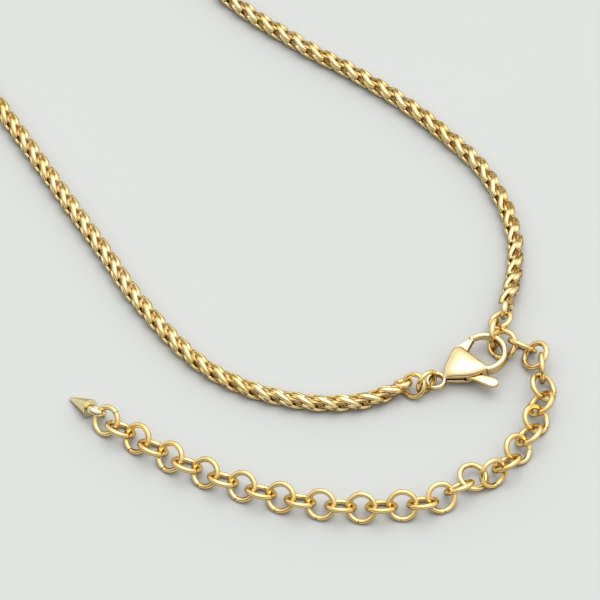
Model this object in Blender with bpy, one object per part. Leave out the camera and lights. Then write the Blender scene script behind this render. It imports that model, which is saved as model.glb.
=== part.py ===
"""A wheat chain necklace, closed by its lobster clasp, with a free extender chain.

The necklace lies on a surface at Z = 0, with +Y away from the viewer and +X to the right.
Lengths are in metres. MM turns a size in millimetres into metres.
Routes are plan points in millimetres. At the end the whole necklace is moved, so that
the origin is under the middle of its box.
"""

import math

import bmesh
import bpy
from mathutils import Matrix, Vector

MM = 0.001

# The woven chain. Its width is measured across its flats.
CHAIN_WIDTH = 2.22 * MM
CHAIN_POINT_STEP = 2.5 * CHAIN_WIDTH
CHAIN_SIDES = 8
END_LOOP_OUTER = 2.44 * MM
END_LOOP_WIRE = 0.54 * MM
# At its two ends the chain rises to its end loops over this length.
CHAIN_RISE_LENGTH = 9.0 * MM

# The extender's round links.
LINK_OUTER = 4.05 * MM
LINK_WIRE = 0.56 * MM
LINK_COUNT = 32
LINK_SLACK = 0.35 * MM
RING_SIDES = 14
WIRE_SIDES = 6
# Links on a surface settle this much flatter than the right angle at which they cross.
LINK_SETTLE = math.radians(5)

# The jump rings. The ring on the hook is one of the extender's links.
CLASP_RING_OUTER = 3.44 * MM
CLASP_RING_WIRE = 0.54 * MM
CHAIN_END_RING_OUTER = 3.40 * MM
CHAIN_END_RING_WIRE = 0.60 * MM

# The clasp, in its own frame: U from the eye to the hook, V across, W up.
# Its origin is the middle of the eye.
CLASP_PLACE = (17.52 * MM, -14.54 * MM)
CLASP_HEADING = math.radians(23)
CLASP_TILT = math.radians(6)
CLASP_REACH = 7.23 * MM
EYE_OUTER = 2.60 * MM
EYE_BAND = 0.42 * MM
EYE_HEIGHT = 0.90 * MM
# The eye lies this far above the ring that passes under it.
EYE_LIFT = 0.24 * MM
HOOK_OUTER = 6.36 * MM
HOOK_BAND = 0.72 * MM
HOOK_HEIGHT = 1.00 * MM
HOOK_START = math.radians(-104)
HOOK_TIP = math.radians(102)
SHELL_HALF_HEIGHT = 1.30 * MM
SLOT_HEIGHT = 0.84 * MM
PIN_RADIUS = 0.42 * MM
PIN_CLEARANCE = 0.08 * MM
PIN_SEAT = 0.38 * MM
LEVER_CLEARANCE = 0.09 * MM
LEVER_HUB_RADIUS = 0.95 * MM
GATE_HEIGHT = 0.96 * MM
GATE_ARC = (math.radians(61), math.radians(69.5))
# The room cut for the gate's swing goes this far past both ends of its arc.
GATE_ROOM_MARGIN = math.radians(7)

# The cone at the free end. It lies on its side, and its eye holds the last link, where
# the link's wire passes at SPIKE_HANG round the link.
SPIKE_LENGTH = 3.8 * MM
SPIKE_BASE = 2.45 * MM
SPIKE_TIP = 0.36 * MM
SPIKE_HEADING = math.radians(138)
SPIKE_HANG = math.radians(124)
SPIKE_SIDES = 16
SPIKE_EYE_OUTER = 2.60 * MM
SPIKE_EYE_BAND = 0.42 * MM
SPIKE_EYE_HEIGHT = 0.90 * MM
SPIKE_EYE_SLACK = 0.32 * MM

# A soldered joint goes this far into its neighbour.
SOLDER_DEPTH = 0.22 * MM

# How finely round forms are cut.
ROUTE_PARTS = 24
SHELL_PARTS = 3
HOOK_STEPS = 26
EYE_STEPS = 16
HUB_SIDES = 16
PIN_SIDES = 14
GATE_STEPS = 5
# A band's edges are eased by this share of its width.
BAND_EASE = 0.28
# Faces that meet at less than this angle are shaded smooth.
SMOOTH_ANGLE = math.radians(50)
WELD_DISTANCE = 0.001 * MM

# Route of the woven chain's centre line, from the clasp round the neck loop to the hook.
# Its two ends are the chain's end loops.
CHAIN_ROUTE = (
    (10.6, -16.6),
    (6.4, -17.8),
    (0.0, -17.6),
    (-7.7, -15.0),
    (-14.2, -10.1),
    (-21.0, -1.1),
    (-26.0, 7.7),
    (-31.9, 17.9),
    (-38.0, 28.5),
    (-44.0, 38.4),
    (-51.6, 47.9),
    (-65.5, 59.0),
    (-82.5, 68.0),
    (-99.0, 79.5),
    (-109.0, 96.0),
    (-108.5, 115.0),
    (-97.0, 129.5),
    (-79.5, 135.0),
    (-61.0, 131.0),
    (-46.5, 119.5),
    (-36.5, 103.5),
    (-28.5, 85.5),
    (-20.0, 68.0),
    (-10.3, 53.2),
    (0.0, 44.0),
    (6.8, 39.1),
    (13.2, 34.0),
    (18.4, 28.8),
    (23.9, 22.1),
    (27.0, 15.3),
    (28.2, 9.3),
    (28.1, 4.5),
    (27.5, 0.6),
)

# Route of the extender, from its first link at the hook's ring to the free end, as plan
# points from the middle of that ring.
EXTENDER_ROUTE = (
    (0.98, -1.29),
    (3.48, -1.99),
    (5.18, -3.09),
    (6.08, -5.79),
    (5.68, -11.09),
    (3.98, -15.89),
    (0.98, -20.39),
    (-3.22, -23.49),
    (-7.42, -25.79),
    (-12.32, -27.19),
    (-17.42, -27.59),
    (-22.62, -27.09),
    (-27.72, -25.99),
    (-32.52, -24.29),
    (-37.22, -22.19),
    (-41.72, -19.69),
    (-45.82, -16.89),
    (-49.92, -13.99),
)

# How the extender's links lie on its route, by link from the hook. The even links and the
# odd ones lie across each other, and the links between two rows take values between.
# turn is about the route and lean along it, in degrees. ahead, aside and lift are how far
# a link's centre lies from its place on the route, in shares of the link's outer size.
EVEN_LINKS = (
    {"link": 2, "turn": -120, "lean": 6, "ahead": -0.01, "aside": 0.04, "lift": 0.00},
    {"link": 4, "turn": -92, "lean": 2, "ahead": -0.06, "aside": -0.04, "lift": 0.00},
    {"link": 6, "turn": -45, "lean": 0, "ahead": 0.00, "aside": 0.00, "lift": 0.01},
    {"link": 10, "turn": -47, "lean": 2, "ahead": 0.10, "aside": 0.07, "lift": 0.01},
    {"link": 12, "turn": 16, "lean": -9, "ahead": -0.04, "aside": -0.20, "lift": 0.06},
    {"link": 14, "turn": 48, "lean": -2, "ahead": 0.00, "aside": 0.10, "lift": 0.00},
    {"link": 16, "turn": 50, "lean": 9, "ahead": -0.04, "aside": 0.08, "lift": 0.00},
    {"link": 30, "turn": 50, "lean": 9, "ahead": -0.05, "aside": 0.01, "lift": 0.00},
    {"link": 32, "turn": 50, "lean": 8, "ahead": -0.10, "aside": 0.00, "lift": 0.00},
)
ODD_LINKS = (
    {"link": 1, "turn": -36, "lean": -14, "ahead": 0.00, "aside": 0.02, "lift": 0.00},
    {"link": 3, "turn": -42, "lean": -6, "ahead": -0.07, "aside": -0.03, "lift": 0.06},
    {"link": 5, "turn": 43, "lean": 0, "ahead": -0.04, "aside": 0.00, "lift": 0.01},
    {"link": 9, "turn": 45, "lean": 0, "ahead": 0.07, "aside": 0.00, "lift": 0.01},
    {"link": 11, "turn": 69, "lean": -3, "ahead": 0.08, "aside": 0.17, "lift": 0.02},
    {"link": 13, "turn": 128, "lean": -3, "ahead": -0.03, "aside": 0.00, "lift": 0.00},
    {"link": 15, "turn": 139, "lean": 2, "ahead": -0.03, "aside": 0.11, "lift": 0.04},
    {"link": 17, "turn": 140, "lean": 0, "ahead": -0.02, "aside": 0.01, "lift": 0.02},
    {"link": 31, "turn": 140, "lean": 0, "ahead": -0.01, "aside": -0.01, "lift": 0.01},
)

# Where the jump rings and the chain's end loops lie. Each hangs on the one before it:
# toward is the way to its centre, slack how far it is from being pulled taut, and lift
# how far it is held above the surface. Its face looks at heading and rise. In degrees.
CLASP_RING = {"toward": 200, "slack": 0.73 * MM, "lift": 0.02 * MM, "heading": -48, "rise": 6.5}
CHAIN_RING = {"toward": 194, "slack": 0.65 * MM, "lift": 0.17 * MM, "heading": 229, "rise": 45}
START_LOOP = {"toward": 160, "slack": 0.41 * MM, "lift": 0.47 * MM, "heading": 114, "rise": 56}
END_RING = {"toward": 70, "slack": 0.15 * MM, "lift": 0.91 * MM, "heading": 161, "rise": 62}
END_LOOP = {"toward": 72, "slack": 0.12 * MM, "lift": 0.82 * MM, "heading": -8, "rise": -3}
# The hook's ring hangs on the hook's band, at this angle round the hook.
HOOK_RING = {"round": 42, "slack": 0.19 * MM, "lift": 0.01 * MM, "heading": -12, "rise": 9.7}

# The clasp's outlines in its own frame, in shares of its reach from eye to hook.
HOOK_CENTRE = (1.0, 0.172)
PIN_PLACE = (0.622, -0.131)
SHELL_OUTLINE = (
    (0.140, -0.030),
    (0.243, 0.174),
    (0.360, 0.277),
    (0.532, 0.455),
    (0.643, 0.455),
    (0.732, 0.313),
    (0.826, 0.072),
    (0.925, -0.147),
    (0.878, -0.230),
    (0.596, -0.236),
    (0.386, -0.156),
)
SHELL_MIDDLE = (0.57, 0.06)
SLOT_OUTLINE = (
    (0.249, -0.360),
    (0.249, 0.041),
    (0.484, 0.297),
    (0.519, 0.553),
    (1.134, 0.553),
    (1.134, -0.083),
    (0.788, -0.083),
    (0.788, -0.360),
)
LEVER_OUTLINE = (
    (0.498, -0.166),
    (0.491, -0.028),
    (0.519, 0.194),
    (0.540, 0.360),
    (0.588, 0.475),
    (0.800, 0.520),
    (0.840, 0.460),
    (0.750, 0.320),
    (0.740, 0.055),
    (0.747, -0.152),
    (0.733, -0.221),
)
GATE_OUTER_SIDE = (
    (0.680, 0.478),
    (0.588, 0.487),
)
GATE_INNER_SIDE = (
    (0.754, 0.324),
    (0.920, 0.473),
)
TAB_OUTLINE = (
    (0.567, -0.150),
    (0.567, -0.235),
    (0.622, -0.332),
    (0.674, -0.408),
    (0.761, -0.526),
    (0.856, -0.589),
    (0.945, -0.560),
    (0.957, -0.505),
    (0.866, -0.380),
    (0.761, -0.304),
    (0.700, -0.150),
)
# The dome of each half of the shell: its outline's scale, and its share of the height.
DOME_LEVELS = (
    {"scale": 1.00, "height": 0.58},
    {"scale": 0.97, "height": 0.73},
    {"scale": 0.86, "height": 0.87},
    {"scale": 0.62, "height": 0.97},
    {"scale": 0.30, "height": 1.00},
)


def clear_scene():
    """Remove what is in the scene."""
    for thing in list(bpy.data.objects):
        bpy.data.objects.remove(thing, do_unlink=True)


def new_collection(name):
    """Make a collection in the scene."""
    group = bpy.data.collections.new(name)
    bpy.context.scene.collection.children.link(group)
    return group


def metal(name, colour, roughness):
    """Make a plated metal's material."""
    material = bpy.data.materials.new(name)
    material.use_nodes = True
    shader = material.node_tree.nodes["Principled BSDF"]
    shader.inputs["Base Color"].default_value = (*colour, 1.0)
    shader.inputs["Metallic"].default_value = 1.0
    shader.inputs["Roughness"].default_value = roughness
    material.diffuse_color = (*colour, 1.0)
    return material


def finish(thing, material):
    """Give an object its one material, and shade its round faces smooth."""
    thing.data.materials.clear()
    thing.data.materials.append(material)
    thing.data.shade_smooth()
    thing.data.set_sharp_from_angle(angle=SMOOTH_ANGLE)


def smooth_line(points, parts):
    """Read a smooth line through the points, each stretch in so many parts."""
    ends = [2 * points[0] - points[1]] + list(points) + [2 * points[-1] - points[-2]]
    fine = []
    for before, start, end, after in zip(ends, ends[1:], ends[2:], ends[3:]):
        for part in range(parts):
            t = part / parts
            fine.append(0.5 * (
                2 * start
                + (end - before) * t
                + (2 * before - 5 * start + 4 * end - after) * t ** 2
                + (3 * start - before - 3 * end + after) * t ** 3
            ))
    fine.append(points[-1])
    return fine


def distances_along(line):
    """Give the distance of each point from a line's start."""
    travelled = [0.0]
    for start, end in zip(line, line[1:]):
        travelled.append(travelled[-1] + (end - start).length)
    return travelled


def point_at(line, travelled, distance):
    """Give the point at a distance along a line, going straight on past its end."""
    last = len(line) - 1
    spot = next((i for i in range(1, last) if travelled[i] >= distance), last)
    span = travelled[spot] - travelled[spot - 1]
    return line[spot - 1].lerp(line[spot], (distance - travelled[spot - 1]) / span)


def plan_vectors(route):
    """Turn a route's plan points in millimetres into vectors."""
    return [Vector((x, y, 0.0)) * MM for x, y in route]


def put_in(thing, group):
    """Move an object into a collection."""
    for other in list(thing.users_collection):
        other.objects.unlink(thing)
    group.objects.link(thing)


def mesh_object(name, shape, group):
    """Make an object of a finished bmesh."""
    bmesh.ops.recalc_face_normals(shape, faces=shape.faces)
    mesh = bpy.data.meshes.new(name)
    shape.to_mesh(mesh)
    shape.free()
    thing = bpy.data.objects.new(name, mesh)
    group.objects.link(thing)
    return thing


def combine(thing, tool, operation):
    """Add a Boolean modifier, and make its tool a cutter."""
    modifier = thing.modifiers.new(tool.name, "BOOLEAN")
    modifier.operation = operation
    modifier.solver = "EXACT"
    modifier.object = tool
    tool.hide_render = True
    tool.display_type = "WIRE"


def tube(name, points, radius, group):
    """Make a mesh tube with closed ends along the points, with a flat facet below."""
    curve = bpy.data.curves.new(name, "CURVE")
    curve.dimensions = "3D"
    curve.twist_mode = "Z_UP"
    curve.bevel_depth = radius
    curve.bevel_resolution = CHAIN_SIDES // 2 - 2
    curve.use_fill_caps = True
    curve.render_resolution_u = 0
    spline = curve.splines.new("POLY")
    spline.points.add(len(points) - 1)
    for spot, point in zip(spline.points, points):
        spot.co = (*point, 1.0)
        spot.tilt = math.pi / CHAIN_SIDES
    guide = bpy.data.objects.new(name, curve)
    group.objects.link(guide)
    bpy.context.view_layer.update()
    evaluated = guide.evaluated_get(bpy.context.evaluated_depsgraph_get())
    mesh = bpy.data.meshes.new_from_object(evaluated)
    shape = bmesh.new()
    shape.from_mesh(mesh)
    bmesh.ops.remove_doubles(shape, verts=shape.verts, dist=WELD_DISTANCE)
    bpy.data.objects.remove(guide, do_unlink=True)
    return mesh_object(name, shape, group)


def facing(normal):
    """Give the turn that points +Z along a normal."""
    return normal.to_track_quat("Z", "Y").to_matrix().to_4x4()


def normal_at(heading, rise):
    """Give the direction at a heading and a rise in degrees."""
    turn = math.radians(heading)
    climb = math.radians(rise)
    flat = math.cos(climb)
    return Vector((flat * math.cos(turn), flat * math.sin(turn), math.sin(climb)))


def ring(name, place, outer, wire, group, sides=RING_SIDES):
    """Make a round ring of round wire at a place, a centre and a normal."""
    centre, normal = place
    bpy.ops.mesh.primitive_torus_add(
        major_segments=sides,
        minor_segments=WIRE_SIDES,
        major_radius=(outer - wire) / 2,
        minor_radius=wire / 2,
    )
    made = bpy.context.object
    made.name = name
    made.data.name = name
    made.matrix_world = Matrix.Translation(centre) @ facing(normal)
    put_in(made, group)
    return made


def resting_height(normal, outer, wire):
    """Give the height of a tilted ring's centre when it touches the surface below."""
    lean = math.sqrt(max(0.0, 1.0 - normal.z ** 2))
    return (outer - wire) / 2 * lean + wire / 2


def hung_place(before, before_size, size, how):
    """Give the centre and normal of a ring that hangs on the ring before it."""
    outer, wire = size
    normal = normal_at(how["heading"], how["rise"])
    taut = (before_size[0] + outer) / 2 - before_size[1] - wire
    way = normal_at(how["toward"], 0)
    centre = before + (taut - how["slack"]) * way
    centre.z = resting_height(normal, outer, wire) + how["lift"]
    return centre, normal


def scaled(outline):
    """Give an outline of the clasp at its real size."""
    return [(CLASP_REACH * u, CLASP_REACH * v) for u, v in outline]


def stacked_prism(name, outline, middle, levels, group):
    """Make a closed solid of one outline, scaled about its middle at each level."""
    shape = bmesh.new()
    scale_now, height_now = levels[0]
    corners = []
    for u, v in outline:
        across = middle[0] + scale_now * (u - middle[0])
        along = middle[1] + scale_now * (v - middle[1])
        corners.append(shape.verts.new((across, along, height_now)))
    face = shape.faces.new(corners)
    for scale, height in levels[1:]:
        raised = bmesh.ops.extrude_face_region(shape, geom=[face])
        if height_now != levels[0][1]:
            bmesh.ops.delete(shape, geom=[face], context="FACES_ONLY")
        top = [item for item in raised["geom"] if isinstance(item, bmesh.types.BMVert)]
        face = next(item for item in raised["geom"] if isinstance(item, bmesh.types.BMFace))
        for corner in top:
            corner.co.x = middle[0] + (corner.co.x - middle[0]) * scale / scale_now
            corner.co.y = middle[1] + (corner.co.y - middle[1]) * scale / scale_now
            corner.co.z += height - height_now
        scale_now, height_now = scale, height
    return mesh_object(name, shape, group)


def flat_prism(name, outline, height, group):
    """Make a closed prism of an outline, half above and half below the middle plane."""
    levels = [(1.0, -height / 2), (1.0, height / 2)]
    return stacked_prism(name, outline, (0.0, 0.0), levels, group)


def arc(centre, radius, start, end, steps):
    """Give the points of an arc."""
    points = []
    for step in range(steps + 1):
        angle = start + (end - start) * step / steps
        points.append((centre[0] + radius * math.cos(angle), centre[1] + radius * math.sin(angle)))
    return points


def band(name, centre, outer, width, height, start, end, steps, group):
    """Make a flat band with eased edges, turned about an upright axis."""
    ease = BAND_EASE * width
    inner = outer - width
    profile = (
        (inner, -height / 2 + ease),
        (inner + ease, -height / 2),
        (outer - ease, -height / 2),
        (outer, -height / 2 + ease),
        (outer, height / 2 - ease),
        (outer - ease, height / 2),
        (inner + ease, height / 2),
        (inner, height / 2 - ease),
    )
    shape = bmesh.new()
    corners = [shape.verts.new((radius, 0.0, level)) for radius, level in profile]
    section = shape.faces.new(corners)
    turn = Matrix.Rotation(start, 3, "Z")
    bmesh.ops.rotate(shape, verts=shape.verts, matrix=turn, cent=(0, 0, 0))
    bmesh.ops.spin(
        shape,
        geom=[section] + list(section.edges) + list(section.verts),
        angle=end - start,
        steps=steps,
        axis=(0, 0, 1),
        cent=(0, 0, 0),
    )
    if end - start == 2 * math.pi:
        ends = [face for face in shape.faces if len(face.verts) == len(profile)]
        bmesh.ops.delete(shape, geom=ends, context="FACES_ONLY")
        bmesh.ops.remove_doubles(shape, verts=shape.verts, dist=WELD_DISTANCE)
    bmesh.ops.translate(shape, verts=shape.verts, vec=(centre[0], centre[1], 0.0))
    return mesh_object(name, shape, group)


def pin_centre():
    """Give the pin's place in the clasp's frame."""
    return scaled((PIN_PLACE,))[0]


def hook_centre():
    """Give the middle of the hook in the clasp's frame."""
    return scaled((HOOK_CENTRE,))[0]


def gate_reach():
    """Give how far from the pin the gate ends, at the middle of the hook's tip."""
    pin = Vector(pin_centre())
    middle = (HOOK_OUTER - HOOK_BAND) / 2
    tip = Vector(arc(hook_centre(), middle, HOOK_TIP, HOOK_TIP, 1)[0])
    return (tip - pin).length - LEVER_CLEARANCE / 2


def clasp_matrix():
    """Give the clasp's place. Its eye lies just above the ring that passes under it."""
    height = CLASP_RING_WIRE + EYE_LIFT + EYE_HEIGHT / 2
    place = Matrix.Translation((*CLASP_PLACE, height))
    heading = Matrix.Rotation(CLASP_HEADING, 4, "Z")
    tilt = Matrix.Rotation(-CLASP_TILT, 4, "Y")
    return place @ heading @ tilt


def make_clasp_body(carrier, group, cutters):
    """Make the clasp's domed shells, hook, eye and fixed pin as one soldered piece."""
    outline = [Vector(point) for point in scaled(SHELL_OUTLINE)]
    rounded = smooth_line(outline + outline[:1], SHELL_PARTS)[:-1]
    below = [(level["scale"], -level["height"] * SHELL_HALF_HEIGHT) for level in DOME_LEVELS]
    above = [(level["scale"], level["height"] * SHELL_HALF_HEIGHT) for level in DOME_LEVELS]
    middle = scaled((SHELL_MIDDLE,))[0]
    body = stacked_prism("clasp_body", rounded, middle, below[::-1] + above, group)
    slot = flat_prism("slot", scaled(SLOT_OUTLINE), SLOT_HEIGHT, cutters)
    combine(body, slot, "DIFFERENCE")

    hook = band(
        "hook", hook_centre(), HOOK_OUTER / 2, HOOK_BAND, HOOK_HEIGHT, HOOK_START, HOOK_TIP,
        HOOK_STEPS, cutters,
    )
    swing = gate_reach() + LEVER_CLEARANCE
    room_start = GATE_ARC[0] - GATE_ROOM_MARGIN
    room_end = GATE_ARC[1] + GATE_ROOM_MARGIN
    clear_arc = arc(pin_centre(), swing, room_start, room_end, 2 * GATE_STEPS)
    gate_room = flat_prism("gate_room", [pin_centre()] + clear_arc, 2 * HOOK_HEIGHT, cutters)
    combine(hook, gate_room, "DIFFERENCE")

    eye = band(
        "eye", (0.0, 0.0), EYE_OUTER / 2, EYE_BAND, EYE_HEIGHT, 0.0, 2 * math.pi,
        EYE_STEPS, cutters,
    )
    pin_outline = arc(pin_centre(), PIN_RADIUS, 0.0, 2 * math.pi, PIN_SIDES)[:-1]
    pin = flat_prism("pin", pin_outline, SLOT_HEIGHT + 2 * PIN_SEAT, cutters)
    for joined in (hook, eye, pin):
        combine(body, joined, "UNION")
    for piece in (body, slot, hook, gate_room, eye, pin):
        piece.parent = carrier
    return body


def make_clasp_lever(carrier, group, cutters):
    """Make the lever, with its gate and thumb tab. Its origin is on the pin's axis."""
    plate_height = SLOT_HEIGHT - 2 * LEVER_CLEARANCE
    lever = flat_prism("clasp_lever", scaled(LEVER_OUTLINE), plate_height, group)
    hub_outline = arc(pin_centre(), LEVER_HUB_RADIUS, 0.0, 2 * math.pi, HUB_SIDES)[:-1]
    hub = flat_prism("hub", hub_outline, plate_height, cutters)
    end = arc(pin_centre(), gate_reach(), GATE_ARC[0], GATE_ARC[1], GATE_STEPS)
    gate_outline = scaled(GATE_INNER_SIDE) + end + scaled(GATE_OUTER_SIDE)[::-1]
    gate = flat_prism("gate", gate_outline, GATE_HEIGHT, cutters)
    tab = flat_prism("tab", scaled(TAB_OUTLINE), plate_height, cutters)
    for joined in (hub, gate, tab):
        combine(lever, joined, "UNION")
    hole_radius = PIN_RADIUS + PIN_CLEARANCE
    hole_outline = arc(pin_centre(), hole_radius, 0.0, 2 * math.pi, PIN_SIDES)[:-1]
    hole = flat_prism("pin_hole", hole_outline, 2 * SLOT_HEIGHT, cutters)
    combine(lever, hole, "DIFFERENCE")
    axis = Vector((*pin_centre(), 0.0))
    for piece in (lever, hub, gate, tab, hole):
        piece.data.transform(Matrix.Translation(-axis))
        piece.location = axis
        piece.parent = carrier
    return lever


def make_wheat_chain(start_place, end_place, group, cutters):
    """Make the woven chain as a faceted tube between its two end loops."""
    start, end = start_place[0], end_place[0]
    flat_start = Vector((start.x, start.y, 0.0))
    flat_end = Vector((end.x, end.y, 0.0))
    line = smooth_line([flat_start] + plan_vectors(CHAIN_ROUTE) + [flat_end], ROUTE_PARTS)
    travelled = distances_along(line)
    trim = END_LOOP_OUTER / 2 - SOLDER_DEPTH
    length = travelled[-1] - 2 * trim
    count = round(length / CHAIN_POINT_STEP)
    points = []
    for step in range(count + 1):
        distance = trim + length * step / count
        point = point_at(line, travelled, distance)
        point.z = CHAIN_WIDTH / 2
        for loop, away in ((start, distance), (end, travelled[-1] - distance)):
            share = max(0.0, 1.0 - away / CHAIN_RISE_LENGTH)
            point.z += (loop.z - CHAIN_WIDTH / 2) * share ** 2 * (3 - 2 * share)
        points.append(point)
    corner_radius = CHAIN_WIDTH / 2 / math.cos(math.pi / CHAIN_SIDES)
    chain = tube("wheat_chain", points, corner_radius, group)
    for name, place in (("start_loop", start_place), ("end_loop", end_place)):
        loop = ring(name, place, END_LOOP_OUTER, END_LOOP_WIRE, cutters)
        combine(chain, loop, "UNION")
    return chain


def pose_of(link):
    """Give how a link lies on the route, between the rows of its table."""
    rows = ODD_LINKS if link % 2 else EVEN_LINKS
    high = next((row for row in rows if row["link"] >= link), rows[-1])
    low = next((row for row in reversed(rows) if row["link"] <= link), rows[0])
    span = max(1, high["link"] - low["link"])
    share = min(1.0, (link - low["link"]) / span)
    return {name: low[name] + share * (high[name] - low[name]) for name in low}


def extender_places(hook_ring_centre):
    """Give the centre and normal of each link, from the hook's ring to the free end."""
    start = Vector((hook_ring_centre.x, hook_ring_centre.y, 0.0))
    route = [start + point for point in plan_vectors(EXTENDER_ROUTE)]
    line = smooth_line(route, ROUTE_PARTS)
    travelled = distances_along(line)
    pitch = LINK_OUTER - 2 * LINK_WIRE - LINK_SLACK
    up = Vector((0.0, 0.0, 1.0))
    places = []
    for link in range(1, LINK_COUNT + 1):
        pose = pose_of(link)
        distance = pitch * (link - 1) + pose["ahead"] * LINK_OUTER
        centre = point_at(line, travelled, distance)
        ahead = (point_at(line, travelled, distance + pitch) - centre).normalized()
        left = up.cross(ahead)
        turn = math.radians(pose["turn"])
        turn -= LINK_SETTLE * math.sin(2 * turn)
        lean = math.radians(pose["lean"])
        face = math.sin(turn) * left + math.cos(turn) * up
        normal = math.sin(lean) * ahead + math.cos(lean) * face
        centre += pose["aside"] * LINK_OUTER * left
        centre.z = resting_height(normal, LINK_OUTER, LINK_WIRE) + pose["lift"] * LINK_OUTER
        places.append((centre, normal))
    return places


def make_spike(last_link, group, cutters):
    """Make the small cone, lying on its side, with a soldered eye through the last link."""
    centre, normal = last_link
    outward = Vector((math.cos(SPIKE_HEADING), math.sin(SPIKE_HEADING), 0.0))
    hang = Vector((math.cos(SPIKE_HANG), math.sin(SPIKE_HANG), 0.0))
    along = (hang - hang.dot(normal) * normal).normalized()
    held = centre + (LINK_OUTER - LINK_WIRE) / 2 * along
    droop = math.atan2((SPIKE_BASE - SPIKE_TIP) / 2, SPIKE_LENGTH)
    axis = math.cos(droop) * outward - Vector((0.0, 0.0, math.sin(droop)))
    stem = SPIKE_EYE_OUTER / 2 - SOLDER_DEPTH
    play = SPIKE_EYE_OUTER / 2 - SPIKE_EYE_BAND - LINK_WIRE / 2 - SPIKE_EYE_SLACK
    base = Vector((held.x, held.y, 0.0)) + (stem + play) * math.cos(droop) * outward
    base.z = SPIKE_BASE / 2 * math.cos(droop)
    shape = bmesh.new()
    bmesh.ops.create_cone(
        shape,
        cap_ends=True,
        segments=SPIKE_SIDES,
        radius1=SPIKE_BASE / 2,
        radius2=SPIKE_TIP / 2,
        depth=SPIKE_LENGTH,
    )
    bmesh.ops.translate(shape, verts=shape.verts, vec=(0, 0, SPIKE_LENGTH / 2))
    spike = mesh_object("spike_drop", shape, group)
    spike.matrix_world = Matrix.Translation(base) @ facing(axis)
    tangent = normal.cross(along)
    eye = band(
        "spike_eye", (0.0, 0.0), SPIKE_EYE_OUTER / 2, SPIKE_EYE_BAND, SPIKE_EYE_HEIGHT,
        0.0, 2 * math.pi, EYE_STEPS, cutters,
    )
    eye_face = (tangent - tangent.dot(axis) * axis).normalized()
    eye.matrix_world = Matrix.Translation(base - stem * axis) @ facing(eye_face)
    combine(spike, eye, "UNION")
    return spike


def hook_ring_place():
    """Give the centre and normal of the ring that hangs on the hook's band."""
    away = HOOK_OUTER / 2 - HOOK_BAND + LINK_OUTER / 2 - LINK_WIRE - HOOK_RING["slack"]
    angle = math.radians(HOOK_RING["round"])
    spot = arc(hook_centre(), away, angle, angle, 1)[0]
    centre = clasp_matrix() @ Vector((*spot, 0.0))
    normal = normal_at(HOOK_RING["heading"], HOOK_RING["rise"])
    centre.z = resting_height(normal, LINK_OUTER, LINK_WIRE) + HOOK_RING["lift"]
    return centre, normal


def make_jump_rings(group):
    """Make the jump rings, and give the places of the chain's two end loops."""
    eye_size = (EYE_OUTER, EYE_BAND)
    clasp_ring_size = (CLASP_RING_OUTER, CLASP_RING_WIRE)
    link_size = (LINK_OUTER, LINK_WIRE)
    end_ring_size = (CHAIN_END_RING_OUTER, CHAIN_END_RING_WIRE)
    loop_size = (END_LOOP_OUTER, END_LOOP_WIRE)

    clasp_ring = hung_place(clasp_matrix().translation, eye_size, clasp_ring_size, CLASP_RING)
    chain_ring = hung_place(clasp_ring[0], clasp_ring_size, clasp_ring_size, CHAIN_RING)
    start_loop = hung_place(chain_ring[0], clasp_ring_size, loop_size, START_LOOP)

    hook_ring = hook_ring_place()
    end_ring = hung_place(hook_ring[0], link_size, end_ring_size, END_RING)
    end_loop = hung_place(end_ring[0], end_ring_size, loop_size, END_LOOP)

    rings = [
        ring("clasp_ring", clasp_ring, *clasp_ring_size, group),
        ring("chain_ring", chain_ring, *clasp_ring_size, group),
        ring("hook_ring", hook_ring, *link_size, group),
        ring("chain_end_ring", end_ring, *end_ring_size, group),
    ]
    return rings, start_loop, end_loop


def stand_at_origin(parts, movable):
    """Move the necklace so that the origin is under the middle of its box."""
    bpy.context.view_layer.update()
    depsgraph = bpy.context.evaluated_depsgraph_get()
    corners = []
    for part in parts:
        seen = part.evaluated_get(depsgraph)
        corners += [seen.matrix_world @ vertex.co for vertex in seen.data.vertices]
    lowest = Vector([min(corner[axis] for corner in corners) for axis in range(3)])
    highest = Vector([max(corner[axis] for corner in corners) for axis in range(3)])
    middle = (lowest + highest) / 2
    for thing in movable:
        thing.location -= Vector((middle.x, middle.y, lowest.z))


def main():
    """Build the necklace."""
    clear_scene()
    group = new_collection("wheat_chain_necklace")
    cutters = new_collection("cutters")
    chain_gold = metal("chain_gold", (0.78, 0.53, 0.20), 0.24)
    link_gold = metal("link_gold", (0.85, 0.56, 0.17), 0.18)
    clasp_gold = metal("clasp_gold", (0.84, 0.66, 0.36), 0.16)
    spike_gold = metal("spike_gold", (0.66, 0.56, 0.28), 0.28)

    carrier = bpy.data.objects.new("clasp", None)
    group.objects.link(carrier)
    carrier.matrix_world = clasp_matrix()
    body = make_clasp_body(carrier, group, cutters)
    lever = make_clasp_lever(carrier, group, cutters)

    rings, start_loop, end_loop = make_jump_rings(group)
    chain = make_wheat_chain(start_loop, end_loop, group, cutters)
    places = extender_places(hook_ring_place()[0])
    for link, place in enumerate(places, start=1):
        name = f"extender_link_{link:02d}"
        rings.append(ring(name, place, LINK_OUTER, LINK_WIRE, group))
    spike = make_spike(places[-1], group, cutters)

    finish(chain, chain_gold)
    finish(body, clasp_gold)
    finish(lever, clasp_gold)
    finish(spike, spike_gold)
    for made in rings:
        finish(made, link_gold)

    parts = [chain, body, lever, spike] + rings
    movable = [thing for thing in bpy.data.objects if thing.parent is None]
    stand_at_origin(parts, movable)


main()
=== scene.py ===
# %% [markdown]
# # A wheat chain necklace, lying on a pale surface
#
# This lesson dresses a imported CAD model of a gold-plated necklace: a woven chain, a sprung
# lobster clasp, and an extender of round links that ends in a small cone. The CAD model
# comes in as a fixed frame, in metres, with +Z up. Each piece below is made in its place in
# that frame, and then stands for the plain solid that it replaces.

import math

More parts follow.
